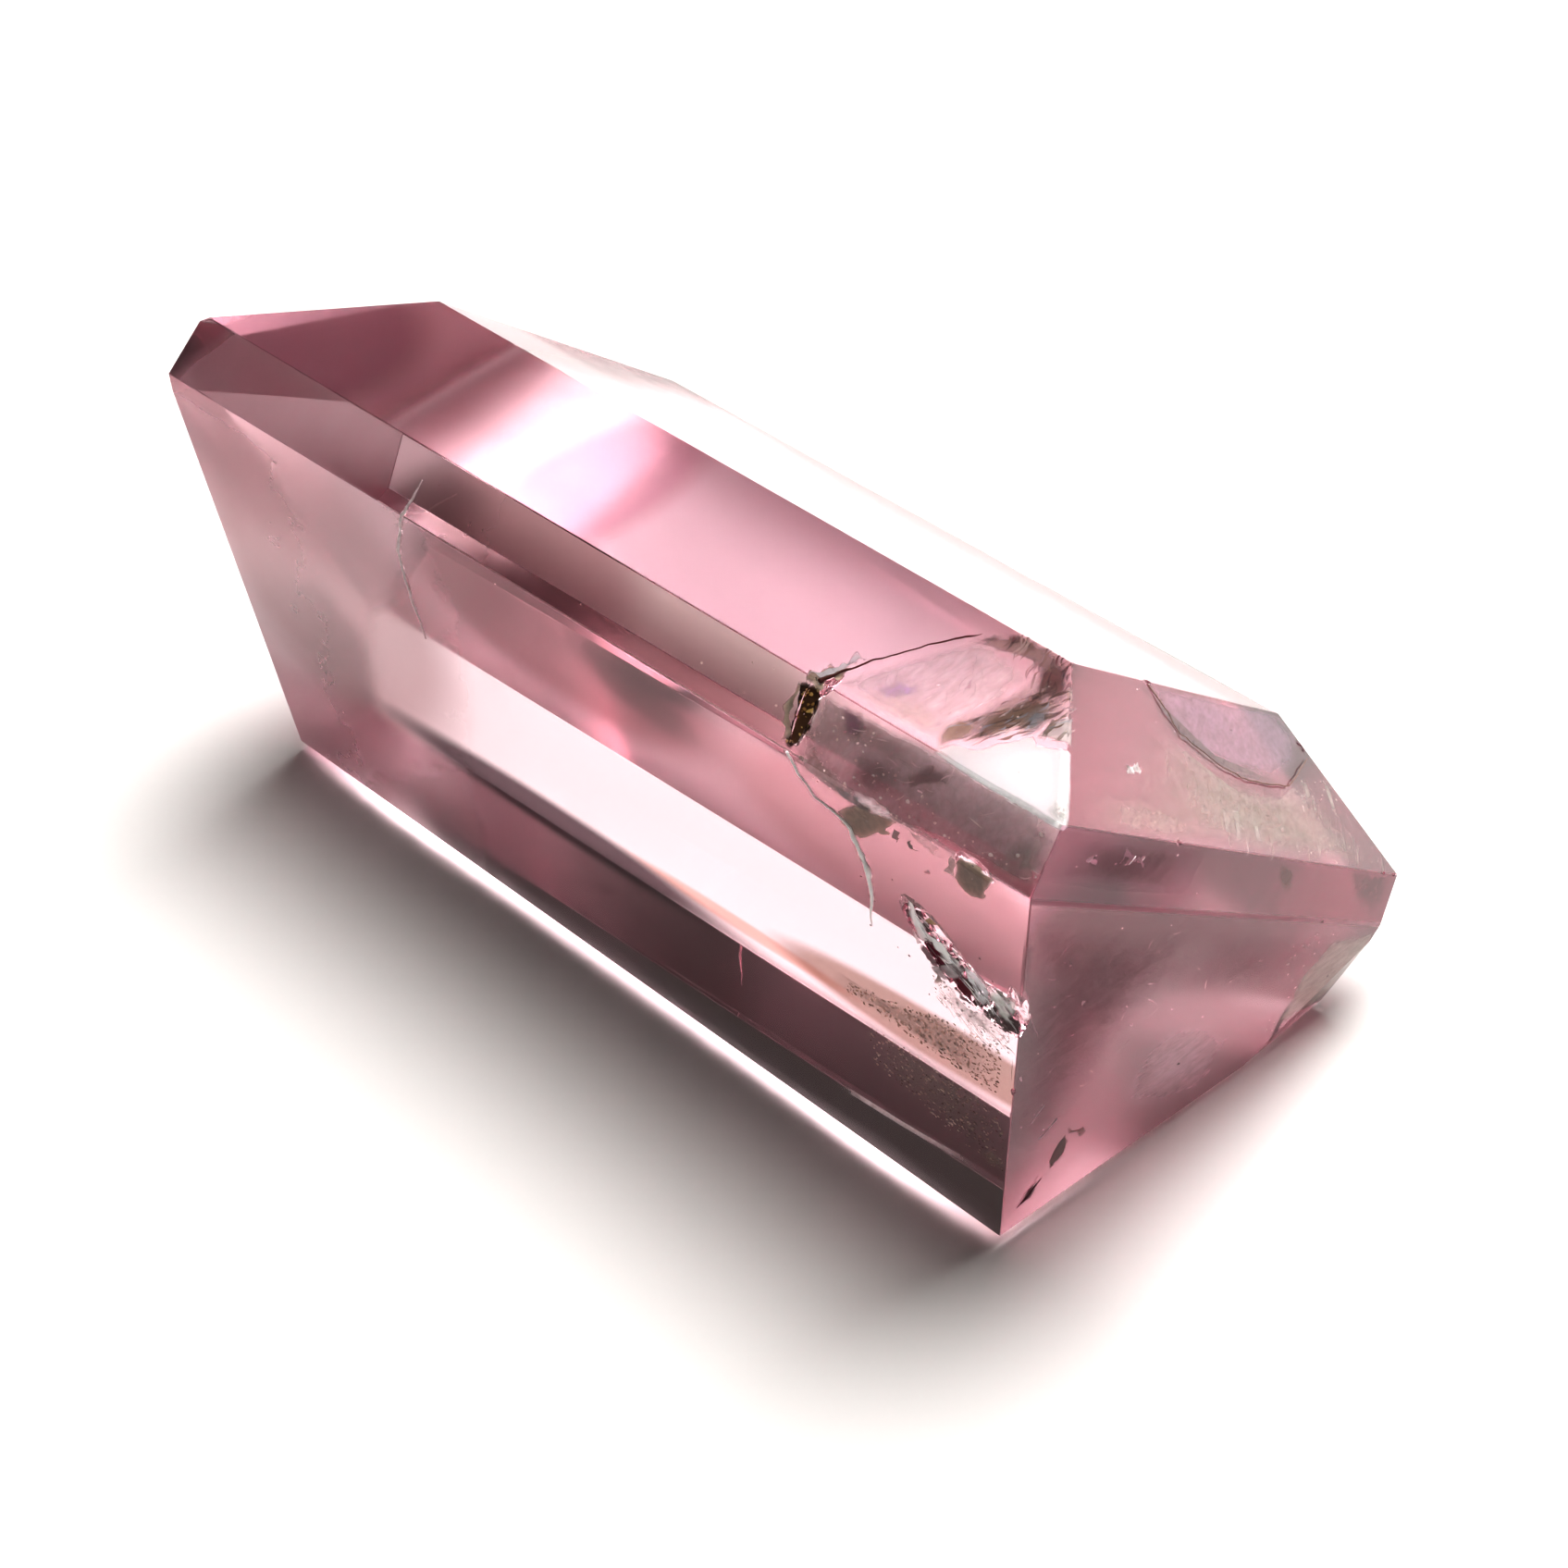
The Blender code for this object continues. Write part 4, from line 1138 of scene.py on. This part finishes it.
def makeGlints(setup):
    # flat chips square to the turn: middle + reach * (cos * side + 0.7 * sin * up),
    # with what would stand out of the facet pushed back
    tree = Tree("brightChip")
    tree.set(base_color=setup["color"], metallic=1.0, roughness=setup["roughness"])
    face = unit(setup["turn"])
    side = unit(np.cross(face, (0.0, 0.0, 1.0)))
    up = np.cross(face, side)
    places, faces, total = [], [], 0
    for name, (facet, spots) in glints.items():
        start, along, across, normal = frames[facet]
        random = np.random.default_rng(seedOf(name))
        for u, v, size in spots:
            count = random.integers(5, 8)
            turn = np.linspace(0, 2 * np.pi, count, endpoint=False)[:, None] + random.uniform(0, 2)
            reach = size * random.uniform(0.35, 1.0, (count, 1)) / 2
            middle = start + u * along + v * across - normal * setup["sink"]
            flat = reach * (np.cos(turn) * side + 0.7 * np.sin(turn) * up)
            flat -= np.outer(np.maximum(flat @ normal - setup["sink"], 0), normal)
            faces.append(list(range(total, total + count)))
            places.append(middle + flat)
            total += count
    item = meshObject("glints", np.vstack(places), faces)
    item.data.materials.append(tree.material)
    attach(item, "root")


makeGlints(sparkle)
print("flecks made")

paper = {
    "halfSize": 600.0,      # mm
    "drop": 0.18,           # how far the paper lies below the stone, mm
    "color": (0.88, 0.87, 0.85, 1),
    "roughness": 0.9,
}


def makePaper(setup):
    # one square below the stone
    half, drop = setup["halfSize"], setup["drop"]
    corners = [(-half, -half, -drop), (half, -half, -drop), (half, half, -drop), (-half, half, -drop)]
    floor = meshObject("paper", np.array(corners), [(0, 1, 2, 3)])
    tree = Tree("whitePaper")
    tree.set(base_color=setup["color"], roughness=setup["roughness"])
    floor.data.materials.append(tree.material)


makePaper(paper)

window = {
    "place": (-0.0080, 0.0390, 0.160),
    "size": (0.096, 0.138),
    "power": 0.44,
}


def makeWindow(setup):
    # an oval lamp that shines straight down
    data = bpy.data.lights.new("window", "AREA")
    data.shape = "ELLIPSE"
    data.size, data.size_y = setup["size"]
    data.energy = setup["power"]
    lamp = linked("window", data)
    lamp.matrix_world = Matrix.Translation(Vector(setup["place"]))


makeWindow(window)

sky = {"color": (0.80, 0.76, 0.70, 1), "strength": 0.125}
world = bpy.data.worlds.new("room")
world.use_nodes = True
background = world.node_tree.nodes["Background"]
background.inputs["Color"].default_value = sky["color"]
background.inputs["Strength"].default_value = sky["strength"]
bpy.context.scene.world = world

view = {"gamma": 0.70, "bounces": 24, "mirrorBounces": 12}     # light crosses the stone many times
scene = bpy.context.scene
scene.view_settings.view_transform = "Standard"
scene.view_settings.gamma = view["gamma"]
scene.cycles.sample_clamp_indirect = 0.0     # unclamped and unblurred, for the bright lines on the paper
scene.cycles.blur_glossy = 0.0
scene.cycles.max_bounces = view["bounces"]
scene.cycles.transmission_bounces = view["bounces"]
scene.cycles.glossy_bounces = view["mirrorBounces"]
print("light and paper made")
